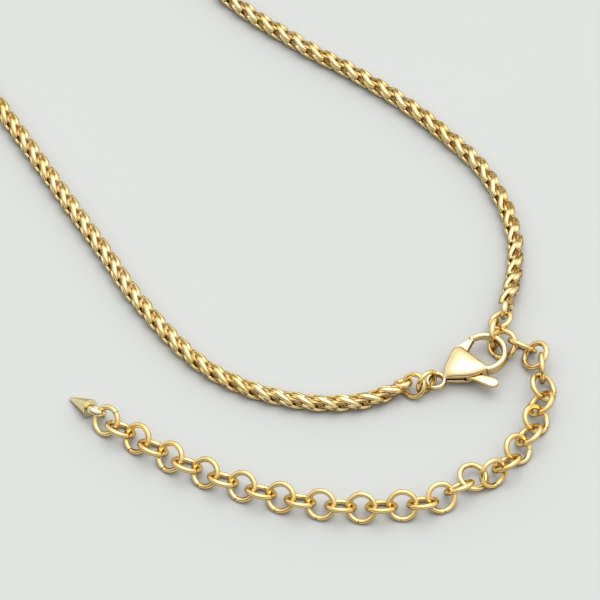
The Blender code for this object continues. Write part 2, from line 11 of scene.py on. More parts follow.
import bmesh
import bpy
import numpy as np
from mathutils import Matrix, Vector


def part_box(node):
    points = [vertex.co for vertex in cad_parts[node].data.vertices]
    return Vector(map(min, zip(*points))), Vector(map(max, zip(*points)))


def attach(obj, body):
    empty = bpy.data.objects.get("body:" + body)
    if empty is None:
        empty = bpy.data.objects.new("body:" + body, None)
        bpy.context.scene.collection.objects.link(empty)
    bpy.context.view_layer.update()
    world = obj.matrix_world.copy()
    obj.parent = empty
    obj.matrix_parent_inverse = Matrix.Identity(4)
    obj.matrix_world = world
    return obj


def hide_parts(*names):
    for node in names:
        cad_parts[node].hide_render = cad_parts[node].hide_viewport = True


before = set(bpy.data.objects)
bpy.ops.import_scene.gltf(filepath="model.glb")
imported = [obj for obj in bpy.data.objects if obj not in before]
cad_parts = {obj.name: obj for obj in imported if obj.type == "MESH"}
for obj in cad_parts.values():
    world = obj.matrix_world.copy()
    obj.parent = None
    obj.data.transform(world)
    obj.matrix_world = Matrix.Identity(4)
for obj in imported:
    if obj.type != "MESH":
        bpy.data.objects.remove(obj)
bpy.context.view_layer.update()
MM = 0.001

# %% [markdown]
# Everything is placed from one spot, the point of the surface at which the camera looks.
# It is measured from a corner of the chain's box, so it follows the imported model. Sizes and
# places below are in millimetres, because jewellery is measured so, and MM turns them into
# metres.

# %% The spot that the camera looks at
AIM_FROM_CHAIN_CORNER = Vector((111.2066, 18.966, 0.0)) * MM

chain_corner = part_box("wheat_chain")[0]
aim = Vector((chain_corner.x, chain_corner.y, 0.0)) + AIM_FROM_CHAIN_CORNER
print("aim in mm:", [round(value / MM, 3) for value in aim])


# %% [markdown]
# Node trees are written out in the script, so that they can be read and changed. One small
# function adds any node: its settings are named, and each of its sockets gets either a
# plain value or a link from another node. A second function turns the colours, which are
# given as the hex values of a colour picker, into the linear values that Blender computes
# with.

# %% Helpers for nodes and colours
def add_node(tree, kind, sockets=None, **settings):
    """Add a node, with its settings, and values or links for its sockets."""
    node = tree.nodes.new(kind)
    for setting, value in settings.items():
        setattr(node, setting, value)
    for socket, value in (sockets or {}).items():
        if isinstance(value, bpy.types.NodeSocket):
            tree.links.new(value, node.inputs[socket])
        else:
            node.inputs[socket].default_value = value
    return node


def linear(colour):
    """Turn a hex colour into linear red, green, blue and alpha."""
    channels = []
    for start in (0, 2, 4):
        share = int(colour[start:start + 2], 16) / 255
        low = share / 12.92
        high = ((share + 0.055) / 1.055) ** 2.4
        channels.append(low if share <= 0.04045 else high)
    return (*channels, 1.0)


print("mid gold in linear light:", [round(value, 3) for value in linear("f9e1a0")])

# %% [markdown]
# ## The metals
#
# All of this necklace is brass with a thin coat of gold, put on in a plating bath after the
# pieces were tumbled smooth. To the eye that gives a warm mirror which is never perfect: its
# tone drifts a little over a few millimetres, tumbling leaves it slightly dimpled, and fine
# hairlines from wear soften the shine. A browner colour is laid in hollows and on flanks and
# undersides: partly a film that no cloth reaches, and partly painted shade, which darkens what
# turns away from above and what lies deep.
#
# It could be painted in images, but patterns worked out by noise stay sharp at any size and
# need no image files. They read Object coordinates, which are metres here, so the scale of
# a pattern is one divided by its real size. The metal is put together from small functions,
# and the first mixes the two golds between which its tone drifts.

# %% The tone of the gold
TONE_DRIFT_SIZE = 5.0
TONE_DRIFT_RANGE = (0.35, 0.68)


def gold_tone(tree, place, gold, deep):
    """Mix two golds by a slow noise, and give the socket of their colour."""
    drift = add_node(tree, "ShaderNodeTexNoise", {
        "Vector": place,
        "Scale": 1 / (TONE_DRIFT_SIZE * MM),
        "Detail": 3.0,
        "Roughness": 0.6,
    })
    drift_share = add_node(tree, "ShaderNodeMapRange", {
        "Value": drift.outputs["Fac"],
        "From Min": TONE_DRIFT_RANGE[0],
        "From Max": TONE_DRIFT_RANGE[1],
    }, interpolation_type="SMOOTHSTEP")
    tone = add_node(tree, "ShaderNodeMix", {
        "Factor": drift_share.outputs["Result"],
        "A": linear(gold),
        "B": linear(deep),
    }, data_type="RGBA")
    return tone.outputs["Result"]


print("the gold's tone drifts over", TONE_DRIFT_SIZE, "mm")

# %% [markdown]
# The brown is laid where a surface turns away from above, which is painted shade on flanks
# and undersides, and where the woven chain's own attribute says that it lies deep, which is
# film and painted shade in its hollows. A cloth rubs film off unevenly, so a fine noise makes
# the brown patchy.

# %% The brown film and painted shade
FLANK_FROM = 0.40
FLANK_TO = -0.35
FLANK_PAINTED_SHADE = 0.85
FILM_AND_SHADE_SPECKLE_SIZE = 0.6
FILM_AND_SHADE_SPECKLE_RANGE = (0.3, 0.7)
THINNEST_FILM_AND_SHADE = 0.55


def film_and_painted_shade(tree, place):
    """Give the socket of how much brown film and painted shade covers a spot."""
    hollow = add_node(tree, "ShaderNodeAttribute", attribute_name="hollow")
    speckle = add_node(tree, "ShaderNodeTexNoise", {
        "Vector": place,
        "Scale": 1 / (FILM_AND_SHADE_SPECKLE_SIZE * MM),
        "Detail": 2.0,
    })
    facing_up = add_node(tree, "ShaderNodeSeparateXYZ", {
        "Vector": add_node(tree, "ShaderNodeNewGeometry").outputs["Normal"],
    })
    # Painted shade: this share browns a surface by how far it turns away from above.
    flank_shade = add_node(tree, "ShaderNodeMapRange", {
        "Value": facing_up.outputs["Z"],
        "From Min": FLANK_FROM,
        "From Max": FLANK_TO,
        "To Max": FLANK_PAINTED_SHADE,
    }, interpolation_type="SMOOTHSTEP")
    film_and_shade_share = add_node(tree, "ShaderNodeMath", {
        0: hollow.outputs["Fac"],
        1: flank_shade.outputs["Result"],
    }, operation="MAXIMUM")
    patchy = add_node(tree, "ShaderNodeMapRange", {
        "Value": speckle.outputs["Fac"],
        "From Min": FILM_AND_SHADE_SPECKLE_RANGE[0],
        "From Max": FILM_AND_SHADE_SPECKLE_RANGE[1],
        "To Min": THINNEST_FILM_AND_SHADE,
    })
    film_and_shade_cover = add_node(tree, "ShaderNodeMath", {
        0: film_and_shade_share.outputs["Value"],
        1: patchy.outputs["Result"],
    }, operation="MULTIPLY")
    return film_and_shade_cover.outputs["Value"]


print("a flank keeps up to", FLANK_PAINTED_SHADE, "of the film")

# %% [markdown]
# Wear draws hairlines, and tumbling leaves dimples. Both bend the light by a bump, and the
# hairlines also make the shine uneven. Real hairlines on a tumbled link are about 0.01 mm
# wide, far too fine to show from half a metre away, so they are drawn about ten times
# coarser. The other sizes are real ones.

# %% Hairlines and dimples
HAIRLINE_SIZE = 0.12
HAIRLINE_STRETCH = 0.15
HAIRLINE_TURN = (0.3, 0.2, 0.6)
HAIRLINE_DEPTH = 0.0015
DIMPLE_SIZE = 0.9


def hairline_pattern(tree, place):
    """Stretch a noise into fine lines, and give its socket."""
    stretched = add_node(tree, "ShaderNodeMapping", {
        "Vector": place,
        "Rotation": HAIRLINE_TURN,
        "Scale": (1.0, HAIRLINE_STRETCH, 1.0),
    })
    hairlines = add_node(tree, "ShaderNodeTexNoise", {
        "Vector": stretched.outputs["Vector"],
        "Scale": 1 / (HAIRLINE_SIZE * MM),
        "Detail": 4.0,
        "Roughness": 0.7,
    })
    return hairlines.outputs["Fac"]


def worn_normal(tree, place, hairlines, dimples):
    """Bend the surface by dimples and hairlines, and give the socket of its normal."""
    dimple = add_node(tree, "ShaderNodeTexNoise", {
        "Vector": place,
        "Scale": 1 / (DIMPLE_SIZE * MM),
        "Detail": 1.0,
    })
    dimpled = add_node(tree, "ShaderNodeBump", {
        "Height": dimple.outputs["Fac"],
        "Distance": dimples * MM,
    })
    lined = add_node(tree, "ShaderNodeBump", {
        "Height": hairlines,
        "Distance": HAIRLINE_DEPTH * MM,
        "Normal": dimpled.outputs["Normal"],
    })
    return lined.outputs["Normal"]


print("hairlines are drawn", HAIRLINE_SIZE, "mm wide and dimples", DIMPLE_SIZE, "mm")

# %% [markdown]
# Now the functions are put together. Where film and painted shade lie, the metal is browner
# and a little rougher than the bare gold. Seen at a glancing angle, plated brass is less white
# than a perfect mirror, which the edge tint gives. Metallic and the tint are the same all
# over, so they are set on the shader's own sockets.

# %% A gold-plated metal
EDGE_TINT = "b48f4c"
FILM_ROUGHNESS = 0.15
SHINE_RANGE = (0.35, 0.75)


def plated_metal(name, gold, deep, film_and_shade_tone, shine, dimples):
    """Make a gold-plated brass: its tones, its range of roughness, and its dimples' depth."""
    material = bpy.data.materials.new(name)
    material.use_nodes = True
    tree = material.node_tree
    shader = tree.nodes["Principled BSDF"]
    shader.inputs["Metallic"].default_value = 1.0
    shader.inputs["Specular Tint"].default_value = linear(EDGE_TINT)
    place = add_node(tree, "ShaderNodeTexCoord").outputs["Object"]
    film_and_shade_cover = film_and_painted_shade(tree, place)
    hairlines = hairline_pattern(tree, place)
    # Painted shade and film: the brown tone is mixed over the gold by the cover.
    colour = add_node(tree, "ShaderNodeMix", {
        "Factor": film_and_shade_cover,
        "A": gold_tone(tree, place, gold, deep),
        "B": linear(film_and_shade_tone),
    }, data_type="RGBA")
    bare_roughness = add_node(tree, "ShaderNodeMapRange", {
        "Value": hairlines,
        "From Min": SHINE_RANGE[0],
        "From Max": SHINE_RANGE[1],
        "To Min": shine[0],
        "To Max": shine[1],
    })
    roughness = add_node(tree, "ShaderNodeMath", {
        0: film_and_shade_cover,
        1: FILM_ROUGHNESS,
        2: bare_roughness.outputs["Result"],
    }, operation="MULTIPLY_ADD", use_clamp=True)
    tree.links.new(colour.outputs["Result"], shader.inputs["Base Color"])
    tree.links.new(roughness.outputs["Value"], shader.inputs["Roughness"])
    normal = worn_normal(tree, place, hairlines, dimples)
    tree.links.new(normal, shader.inputs["Normal"])
    return material


print("the edge tint in linear light:", [round(value, 3) for value in linear(EDGE_TINT)])

# %% [markdown]
# The pieces were made in four ways, and each took its gold differently: wire that was woven,
# wire that was wound into rings, cast brass and turned brass. So there are four golds, which
# differ in their tones, in how even their shine is and in how deep their dimples are.

# %% The four golds
# Drawn brass wire, woven, tumbled, plated: bright arms, brown film and painted shade between.
woven_gold = plated_metal(
    "gold_plated_woven_wire", "fde6ac", "f8db94", "8a5f1e", (0.10, 0.24), 0.006
)
# Drawn brass wire, wound on a rod, cut and plated thickly: the warmest, smoothest tone.
ring_gold = plated_metal(
    "gold_plated_wound_rings", "fce1a0", "f7d486", "8a5f1e", (0.10, 0.22), 0.006
)
# Cast brass, polished before a pale plating: a champagne mirror.
clasp_gold = plated_metal(
    "gold_plated_cast_clasp", "fbe6b4", "f5d89a", "8e6a30", (0.14, 0.28), 0.010
)
# Turned brass with a thin, slightly green plating.
cone_gold = plated_metal(
    "gold_plated_turned_cone", "faf0c6", "f1e3aa", "a48c48", (0.12, 0.24), 0.006
)
print("metals:", [metal.name for metal in (woven_gold, ring_gold, clasp_gold, cone_gold)])


# %% [markdown]
# ## From nodes to a plain mesh
#
# The chains repeat one shape along a path, which is what Geometry Nodes are good at. Every
# tree here ends in Realize Instances and Set Material. Its result is then read as a plain
# mesh into a new object at the origin, and the carrier with its modifier is removed, so the
# finished piece can be exported as it is.

# %% Helpers for Geometry Nodes
def new_tree(name, inputs):
    """Start a Geometry Nodes tree with named inputs, and give it with its input node."""
    tree = bpy.data.node_groups.new(name, "GeometryNodeTree")
    tree.interface.new_socket("Geometry", in_out="INPUT", socket_type="NodeSocketGeometry")
    for title, kind in inputs.items():
        tree.interface.new_socket(title, in_out="INPUT", socket_type=kind)
    tree.interface.new_socket("Geometry", in_out="OUTPUT", socket_type="NodeSocketGeometry")
    return tree, tree.nodes.new("NodeGroupInput")


def end_tree(tree, instances, material):
    """End a tree: make its instances real, shade them smooth and give them their metal."""
    real = add_node(tree, "GeometryNodeRealizeInstances", {"Geometry": instances})
    smooth = add_node(tree, "GeometryNodeSetShadeSmooth", {"Geometry": real.outputs[0]})
    finished = add_node(tree, "GeometryNodeSetMaterial", {
        "Geometry": smooth.outputs[0],
        "Material": material,
    })
    add_node(tree, "NodeGroupOutput", {"Geometry": finished.outputs[0]})


def plain_piece(name, carrier, tree=None, values=None):
    """Read a carrier with its modifiers as a plain mesh, and remove the carrier."""
    if tree:
        modifier = carrier.modifiers.new(tree.name, "NODES")
        modifier.node_group = tree
        for item in tree.interface.items_tree:
            if item.in_out == "INPUT" and item.name in values:
                modifier[item.identifier] = values[item.name]
    bpy.context.view_layer.update()
    depsgraph = bpy.context.evaluated_depsgraph_get()
    mesh = bpy.data.meshes.new_from_object(
        carrier.evaluated_get(depsgraph), preserve_all_data_layers=True, depsgraph=depsgraph
    )
    mesh.name = name
    bpy.data.objects.remove(carrier, do_unlink=True)
    piece = bpy.data.objects.new(name, mesh)
    bpy.context.scene.collection.objects.link(piece)
    mesh.calc_loop_triangles()
    print(name, "has", len(mesh.loop_triangles), "triangles")
    return piece


def linked_object(name, data):
    """Make an object in the scene."""
    thing = bpy.data.objects.new(name, data)
    bpy.context.scene.collection.objects.link(thing)
    return thing


# %% [markdown]
# ## The rings
#
# A jump ring is wire wound on a rod and cut through once, so each ring is an arc that nearly
# closes, with a fine butt seam. A torus would have no seam. The first part of the tree draws
# the arc and sweeps a round wire along it. The seam is centred on the arc's own X.

# %% The tree for rings: the wire
ring_tree, ring_inputs = new_tree("rings_of_wire", {
    "Outer size": "NodeSocketFloat",
    "Wire size": "NodeSocketFloat",
    "Seam angle": "NodeSocketFloat",
    "Groove share": "NodeSocketFloat",
    "Arc points": "NodeSocketInt",
    "Wire points": "NodeSocketInt",
    "Material": "NodeSocketMaterial",
})
wire_radius = add_node(ring_tree, "ShaderNodeMath", {
    0: ring_inputs.outputs["Wire size"],
    1: 0.5,
}, operation="MULTIPLY")
outside_and_wire = add_node(ring_tree, "ShaderNodeMath", {
    0: ring_inputs.outputs["Outer size"],
    1: 0.5,
    2: wire_radius.outputs[0],
}, operation="MULTIPLY_ADD")
ring_radius = add_node(ring_tree, "ShaderNodeMath", {
    0: outside_and_wire.outputs[0],
    1: ring_inputs.outputs["Wire size"],
}, operation="SUBTRACT")
sweep_angle = add_node(ring_tree, "ShaderNodeMath", {
    0: 2 * math.pi,
    1: ring_inputs.outputs["Seam angle"],
}, operation="SUBTRACT")
half_seam = add_node(ring_tree, "ShaderNodeMath", {
    0: ring_inputs.outputs["Seam angle"],
    1: 0.5,
}, operation="MULTIPLY")
ring_arc = add_node(ring_tree, "GeometryNodeCurveArc", {
    "Resolution": ring_inputs.outputs["Arc points"],
    "Radius": ring_radius.outputs[0],
    "Start Angle": half_seam.outputs[0],
    "Sweep Angle": sweep_angle.outputs[0],
})
wire_section = add_node(ring_tree, "GeometryNodeCurvePrimitiveCircle", {
    "Resolution": ring_inputs.outputs["Wire points"],
    "Radius": wire_radius.outputs[0],
})
wire_ring = add_node(ring_tree, "GeometryNodeCurveToMesh", {
    "Curve": ring_arc.outputs["Curve"],
    "Profile Curve": wire_section.outputs["Curve"],
    "Fill Caps": True,
})
print("nodes that make the wire:", len(ring_tree.nodes))

# %% [markdown]
# Where the two cut ends of a ring meet, the plating bath leaves a shallow groove with some
# brown in it. An open gap would let one see through, so the groove is a short arc of thinner
# wire across the gap, which the film covers.

# %% The tree for rings: the groove of the seam
GROOVE_POINTS = 3
ALL_FILM = 1.0

groove_start = add_node(ring_tree, "ShaderNodeMath", {
    0: ring_inputs.outputs["Seam angle"],
    1: -1.0,
}, operation="MULTIPLY")
groove_sweep = add_node(ring_tree, "ShaderNodeMath", {
    0: ring_inputs.outputs["Seam angle"],
    1: 2.0,
}, operation="MULTIPLY")
groove_arc = add_node(ring_tree, "GeometryNodeCurveArc", {
    "Resolution": GROOVE_POINTS,
    "Radius": ring_radius.outputs[0],
    "Start Angle": groove_start.outputs[0],
    "Sweep Angle": groove_sweep.outputs[0],
})
groove_radius = add_node(ring_tree, "ShaderNodeMath", {
    0: wire_radius.outputs[0],
    1: ring_inputs.outputs["Groove share"],
}, operation="MULTIPLY")
groove_section = add_node(ring_tree, "GeometryNodeCurvePrimitiveCircle", {
    "Resolution": ring_inputs.outputs["Wire points"],
    "Radius": groove_radius.outputs[0],
})
groove = add_node(ring_tree, "GeometryNodeCurveToMesh", {
    "Curve": groove_arc.outputs["Curve"],
    "Profile Curve": groove_section.outputs["Curve"],
    "Fill Caps": True,
})
filmed_groove = add_node(ring_tree, "GeometryNodeStoreNamedAttribute", {
    "Geometry": groove.outputs["Mesh"],
    "Name": "hollow",
    "Value": ALL_FILM,
}, data_type="FLOAT", domain="POINT")
ring_with_seam = add_node(ring_tree, "GeometryNodeJoinGeometry")
for part in (filmed_groove.outputs["Geometry"], wire_ring.outputs["Mesh"]):
    ring_tree.links.new(part, ring_with_seam.inputs["Geometry"])
print("nodes with the groove:", len(ring_tree.nodes))

# %% [markdown]
# The carrier of the tree is a mesh of loose points, one for each ring. Two vectors that the
# points carry say which way a ring faces and on which side its seam is, so one tree serves
# all the rings, however they lie.

# %% The tree for rings: their places
facing = add_node(
    ring_tree, "GeometryNodeInputNamedAttribute", {"Name": "facing"}, data_type="FLOAT_VECTOR"
)
seam_side = add_node(
    ring_tree, "GeometryNodeInputNamedAttribute", {"Name": "seam_side"}, data_type="FLOAT_VECTOR"
)
faced = add_node(ring_tree, "FunctionNodeAlignRotationToVector", {
    "Vector": facing.outputs["Attribute"],
}, axis="Z")
turned = add_node(ring_tree, "FunctionNodeAlignRotationToVector", {
    "Rotation": faced.outputs["Rotation"],
    "Vector": seam_side.outputs["Attribute"],
}, axis="X", pivot_axis="Z")
rings = add_node(ring_tree, "GeometryNodeInstanceOnPoints", {
    "Points": ring_inputs.outputs["Geometry"],
    "Instance": ring_with_seam.outputs["Geometry"],
    "Rotation": turned.outputs["Rotation"],
})
end_tree(ring_tree, rings.outputs["Instances"], ring_inputs.outputs["Material"])
print("nodes in the tree for rings:", len(ring_tree.nodes))


# %% [markdown]
# Where each ring lies is read from its CAD solid: the middle of its corners is its centre,
# and the direction in which they spread least is the way it faces. Read so, a ring stays in
# its neighbours whatever the model's sizes are.

# %% Read where a ring lies
def ring_place(node):
    """Give the centre and the facing direction of a CAD ring."""
    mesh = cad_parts[node].data
    corners = np.array([vertex.co for vertex in mesh.vertices])
    corners = np.unique(corners.round(7), axis=0)
    centre = corners.mean(axis=0)
    spread = np.linalg.svd(corners - centre)[2]
    return centre, spread[2]


print("the hook's ring is at", (ring_place("hook_ring")[0] / MM).round(2), "mm")

# %% [markdown]
# Most seams are turned down to the surface, as links tend to settle, but on two links the
# seam shows. Each ring has 12 corners round its wire and 48 along it, enough to look round
# in a close view.

# %% Make rings at their places
SEAM_GAP = 0.13
GROOVE_SHARE = 0.70
SEAM_DOWN = (0.0, 0.0, -1.0)
SEAMS_THAT_SHOW = {
    "extender_link_32": (13.4, 7.1, 0.0),
    "extender_link_09": (12.0, 0.5, 0.0),
}
RING_ARC_POINTS = 48
RING_WIRE_POINTS = 12


def rings_at(name, places, seams, outer, wire, material):
    """Make rings of one size at places, each a centre and a facing direction."""
    mesh = bpy.data.meshes.new(name)
    mesh.from_pydata([centre for centre, normal in places], [], [])
    facing_values = mesh.attributes.new("facing", "FLOAT_VECTOR", "POINT")
    seam_values = mesh.attributes.new("seam_side", "FLOAT_VECTOR", "POINT")
    for spot, ((centre, normal), seam) in enumerate(zip(places, seams)):
        facing_values.data[spot].vector = normal
        seam_values.data[spot].vector = seam
    return plain_piece(name, linked_object(name, mesh), ring_tree, {
        "Outer size": outer * MM,
        "Wire size": wire * MM,
        "Seam angle": 2 * SEAM_GAP / (outer - wire),
        "Groove share": GROOVE_SHARE,
        "Arc points": RING_ARC_POINTS,
        "Wire points": RING_WIRE_POINTS,
        "Material": material,
    })


def make_rings(name, nodes, outer, wire):
    """Make rings of one size where the CAD nodes are, as one piece."""
    places = [ring_place(node) for node in nodes]
    seams = [SEAMS_THAT_SHOW.get(node, SEAM_DOWN) for node in nodes]
    piece = rings_at(name, places, seams, outer, wire, ring_gold)
    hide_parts(*nodes)
    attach(piece, "root")
    return piece


print("a seam is", SEAM_GAP, "mm wide")

# %% [markdown]
# The extender's links and the ring on the hook are of one size. The two rings at the clasp's
# eye are smaller, and so is the one at the chain's other end. The wire of all of them is a
# little thicker than in the CAD model, whose rings keep clear of each other, so that here
# they touch as real ones do.

# %% Make the extender and the jump rings
LINK_COUNT = 32
LINK_OUTER = 4.19
LINK_WIRE = 0.70
CLASP_RING_OUTER = 3.54
CLASP_RING_WIRE = 0.64
END_RING_OUTER = 3.50
END_RING_WIRE = 0.70

extender_nodes = [f"extender_link_{link:02d}" for link in range(1, LINK_COUNT + 1)]
make_rings("extender_chain", extender_nodes, LINK_OUTER, LINK_WIRE)
make_rings("ring_on_hook", ["hook_ring"], LINK_OUTER, LINK_WIRE)
make_rings("rings_at_clasp", ["clasp_ring", "chain_ring"], CLASP_RING_OUTER, CLASP_RING_WIRE)
make_rings("ring_at_chain_end", ["chain_end_ring"], END_RING_OUTER, END_RING_WIRE)

# %% [markdown]
# ## The woven chain
#
# A wheat chain is woven from one repeated link. Each link is a wire loop pinched long and
# folded in two, so that it has a fold at one end and a pair of eyes at the other. The next
# link's fold is threaded through the eyes of the link before, each link a quarter turn
# from its neighbour. From outside one sees rows of bold slanting arms, like ears of wheat,
# each over a hidden arm of its neighbour. The woven chain is then drawn through a round
# hole in a plate, which presses its outside even.
#
# It would be heavy to model every link by hand, and a pattern on a plain rod would have no
# gaps or shadows. Here one link's centre line is drawn as a guide, from a table of one half
# of it, and the tree sweeps a wire along it, presses it and lays one on the route every half
# pitch.

# %% One link's centre line
# Half of a link, in millimetres: along the chain, aside and outwards. The bold arm comes
# first, from the middle of its face to the face's edge, then the eye's end, which dips into
# the weave, then the hidden arm below.
LINK_HALF = (
    (0.02, 0.15, 0.83),
    (0.80, -0.10, 0.87),
    (1.80, -0.55, 0.71),
    (2.74, -0.84, 0.27),
    (2.57, -0.38, 0.06),
    (2.12, 0.38, 0.12),
    (0.60, 0.26, 0.32),
)


def link_line(half):
    """Give a folded link's whole centre line: the half, and the same turned half round."""
    line = list(half) + [(along, -aside, -out) for along, aside, out in half]
    return [Vector(point) * MM for point in line]


def curve_object(name, points, cyclic=False):
    """Make an object of one straight-sided curve through the points."""
    curve = bpy.data.curves.new(name, "CURVE")
    curve.dimensions = "3D"
    spline = curve.splines.new("POLY")
    spline.points.add(len(points) - 1)
    for spot, point in zip(spline.points, points):
        spot.co = (*point, 1.0)
    spline.use_cyclic_u = cyclic
    return linked_object(name, curve)


link_guide = curve_object("link_guide", link_line(LINK_HALF), cyclic=True)
print("a link's line has", len(link_line(LINK_HALF)), "points")

# %% [markdown]
# The route repeats the points of the CAD chain's centre line, from the clasp round the neck
# loop to the hook. One helper reads a smooth line through points, as a chain has no corners,
# and another cuts a line into even steps.

# %% The chain's route
CHAIN_WIDTH = 2.22
START_LOOP = Vector((13.248, -14.913, 1.271))
START_FACING = (-0.2274, 0.5108, 0.8290)
END_LOOP = Vector((26.556, -3.359, 2.039))
END_FACING = (0.9889, -0.1390, -0.0523)
RISE_LENGTH = 9.0
ROUTE_PARTS = 24
CHAIN_ROUTE = (
    (10.6, -16.6), (6.4, -17.8), (0.0, -17.6), (-7.7, -15.0), (-14.2, -10.1), (-21.0, -1.1),
    (-26.0, 7.7), (-31.9, 17.9), (-38.0, 28.5), (-44.0, 38.4), (-51.6, 47.9), (-65.5, 59.0),
    (-82.5, 68.0), (-99.0, 79.5), (-109.0, 96.0), (-108.5, 115.0), (-97.0, 129.5),
    (-79.5, 135.0), (-61.0, 131.0), (-46.5, 119.5), (-36.5, 103.5), (-28.5, 85.5),
    (-20.0, 68.0), (-10.3, 53.2), (0.0, 44.0), (6.8, 39.1), (13.2, 34.0), (18.4, 28.8),
    (23.9, 22.1), (27.0, 15.3), (28.2, 9.3), (28.1, 4.5), (27.5, 0.6),
)


def smooth_line(points, parts):
    """Read a smooth line through the points, each stretch in so many parts."""
    ends = [2 * points[0] - points[1]] + list(points) + [2 * points[-1] - points[-2]]
    fine = []
    for before, start, end, after in zip(ends, ends[1:], ends[2:], ends[3:]):
        for part in range(parts):
            t = part / parts
            fine.append(0.5 * (
                2 * start
                + (end - before) * t
                + (2 * before - 5 * start + 4 * end - after) * t ** 2
                + (3 * start - before - 3 * end + after) * t ** 3
            ))
    fine.append(points[-1])
    return fine


def cut_line(line, step, first, last):
    """Cut a line into even steps, leaving off a first and a last length."""
    corners = np.array(line)
    spans = np.linalg.norm(np.diff(corners, axis=0), axis=1)
    travelled = np.concatenate([[0.0], np.cumsum(spans)])
    length = travelled[-1] - first - last
    count = round(length / step)
    wanted = first + length * np.arange(count + 1) / count
    axes = [np.interp(wanted, travelled, corners[:, axis]) for axis in range(3)]
    return [Vector(point) for point in zip(*axes)], wanted, travelled[-1]


print("the route is drawn through", len(CHAIN_ROUTE), "points")

# %% [markdown]
# The links are laid half a pitch apart, so the line is cut into steps of half that. It stops
# short of the two end loops, by the length of the last link's eyes and folds. Each end rises
# in a smooth slope to its loop, because the jump rings hold it off the surface.

# %% Cut the route and lift its ends
LINK_STEP = 1.417
EYE_AHEAD = 3.45
FOLD_BEHIND = 0.85

plan = [Vector((START_LOOP.x, START_LOOP.y, 0.0))]
plan += [Vector((x, y, 0.0)) for x, y in CHAIN_ROUTE]
plan += [Vector((END_LOOP.x, END_LOOP.y, 0.0))]
route, distances, route_length = cut_line(
    smooth_line(plan, ROUTE_PARTS), LINK_STEP / 2, EYE_AHEAD, FOLD_BEHIND
)
for point, distance in zip(route, distances):
    point.z = CHAIN_WIDTH / 2
    for loop, away in ((START_LOOP, distance), (END_LOOP, route_length - distance)):
        share = max(0.0, 1.0 - away / RISE_LENGTH)
        point.z += (loop.z - CHAIN_WIDTH / 2) * share ** 2 * (3 - 2 * share)
route = [aim + point * MM for point in route]
print("the chain's route is", round(route_length, 1), "mm long")

# %% [markdown]
# The weaving tree starts with one link. Its centre line comes in as an object, and a round
# wire is swept along it. A spot's distance from the chain's middle says how hollow it is,
# from nothing on the outside of the weave to everything at its core, and the metal reads
# that to lay its brown: film, and painted shade that darkens the weave towards its core.

# %% The tree for the woven chain: one link
weave_tree, weave_inputs = new_tree("woven_chain", {
    "Link guide": "NodeSocketObject",
    "Link step": "NodeSocketFloat",
    "Wire size": "NodeSocketFloat",
    "Wire points": "NodeSocketInt",
    "Drawn radius": "NodeSocketFloat",
    "Core radius": "NodeSocketFloat",
    "Hollow from": "NodeSocketFloat",
    "Hollow to": "NodeSocketFloat",
    "Looseness": "NodeSocketFloat",
    "Seed": "NodeSocketInt",
    "Twist from": "NodeSocketFloat",
    "Twist to": "NodeSocketFloat",
    "Twist": "NodeSocketFloat",
    "Material": "NodeSocketMaterial",
})
guide = add_node(weave_tree, "GeometryNodeObjectInfo", {
    "Object": weave_inputs.outputs["Link guide"],
})
woven_radius = add_node(weave_tree, "ShaderNodeMath", {
    0: weave_inputs.outputs["Wire size"],
    1: 0.5,
}, operation="MULTIPLY")
woven_section = add_node(weave_tree, "GeometryNodeCurvePrimitiveCircle", {
    "Resolution": weave_inputs.outputs["Wire points"],
    "Radius": woven_radius.outputs[0],
})
link_mesh = add_node(weave_tree, "GeometryNodeCurveToMesh", {
    "Curve": guide.outputs["Geometry"],
    "Profile Curve": woven_section.outputs["Curve"],
})
spot = add_node(weave_tree, "GeometryNodeInputPosition")
flat_spot = add_node(weave_tree, "ShaderNodeVectorMath", {
    0: spot.outputs["Position"],
    1: (0.0, 1.0, 1.0),
}, operation="MULTIPLY")
core_distance = add_node(weave_tree, "ShaderNodeVectorMath", {
    0: flat_spot.outputs["Vector"],
}, operation="LENGTH")
# Painted shade and film: this share lays brown that darkens the weave towards its core.
hollow_share = add_node(weave_tree, "ShaderNodeMapRange", {
    "Value": core_distance.outputs["Value"],
    "From Min": weave_inputs.outputs["Hollow from"],
    "From Max": weave_inputs.outputs["Hollow to"],
    "To Min": 1.0,
    "To Max": 0.0,
}, interpolation_type="SMOOTHSTEP")
marked_link = add_node(weave_tree, "GeometryNodeStoreNamedAttribute", {
    "Geometry": link_mesh.outputs["Mesh"],
    "Name": "hollow",
    "Value": hollow_share.outputs["Result"],
}, data_type="FLOAT", domain="POINT")
print("nodes that make a link:", len(weave_tree.nodes))

# %% [markdown]
# A woven chain is drawn through a round hole, which presses its outside flat and even. What
# reaches past the hole is scaled back to its radius here, about the chain's middle, and the
# rest stays as it is.

# %% The tree for the woven chain: press the link
hole_share = add_node(weave_tree, "ShaderNodeMath", {
    0: weave_inputs.outputs["Drawn radius"],
    1: core_distance.outputs["Value"],
}, operation="DIVIDE")
press = add_node(weave_tree, "ShaderNodeMath", {
    0: hole_share.outputs[0],
    1: 1.0,
}, operation="MINIMUM")
press_scale = add_node(weave_tree, "ShaderNodeCombineXYZ", {
    "X": 1.0,
    "Y": press.outputs[0],
    "Z": press.outputs[0],
})
pressed_spot = add_node(weave_tree, "ShaderNodeVectorMath", {
    0: spot.outputs["Position"],
    1: press_scale.outputs["Vector"],
}, operation="MULTIPLY")
pressed_link = add_node(weave_tree, "GeometryNodeSetPosition", {
    "Geometry": marked_link.outputs["Geometry"],
    "Position": pressed_spot.outputs["Vector"],
})
print("nodes with the press:", len(weave_tree.nodes))

# %% [markdown]
# Next come the links' places. Each lies on the route and points back along it, a quarter
# turn further than the one before. Real links lie a little loosely, so each wobbles by a
# small random angle. A chain that lies in a curve also twists about itself, which turns the
# pattern slowly on the way round.

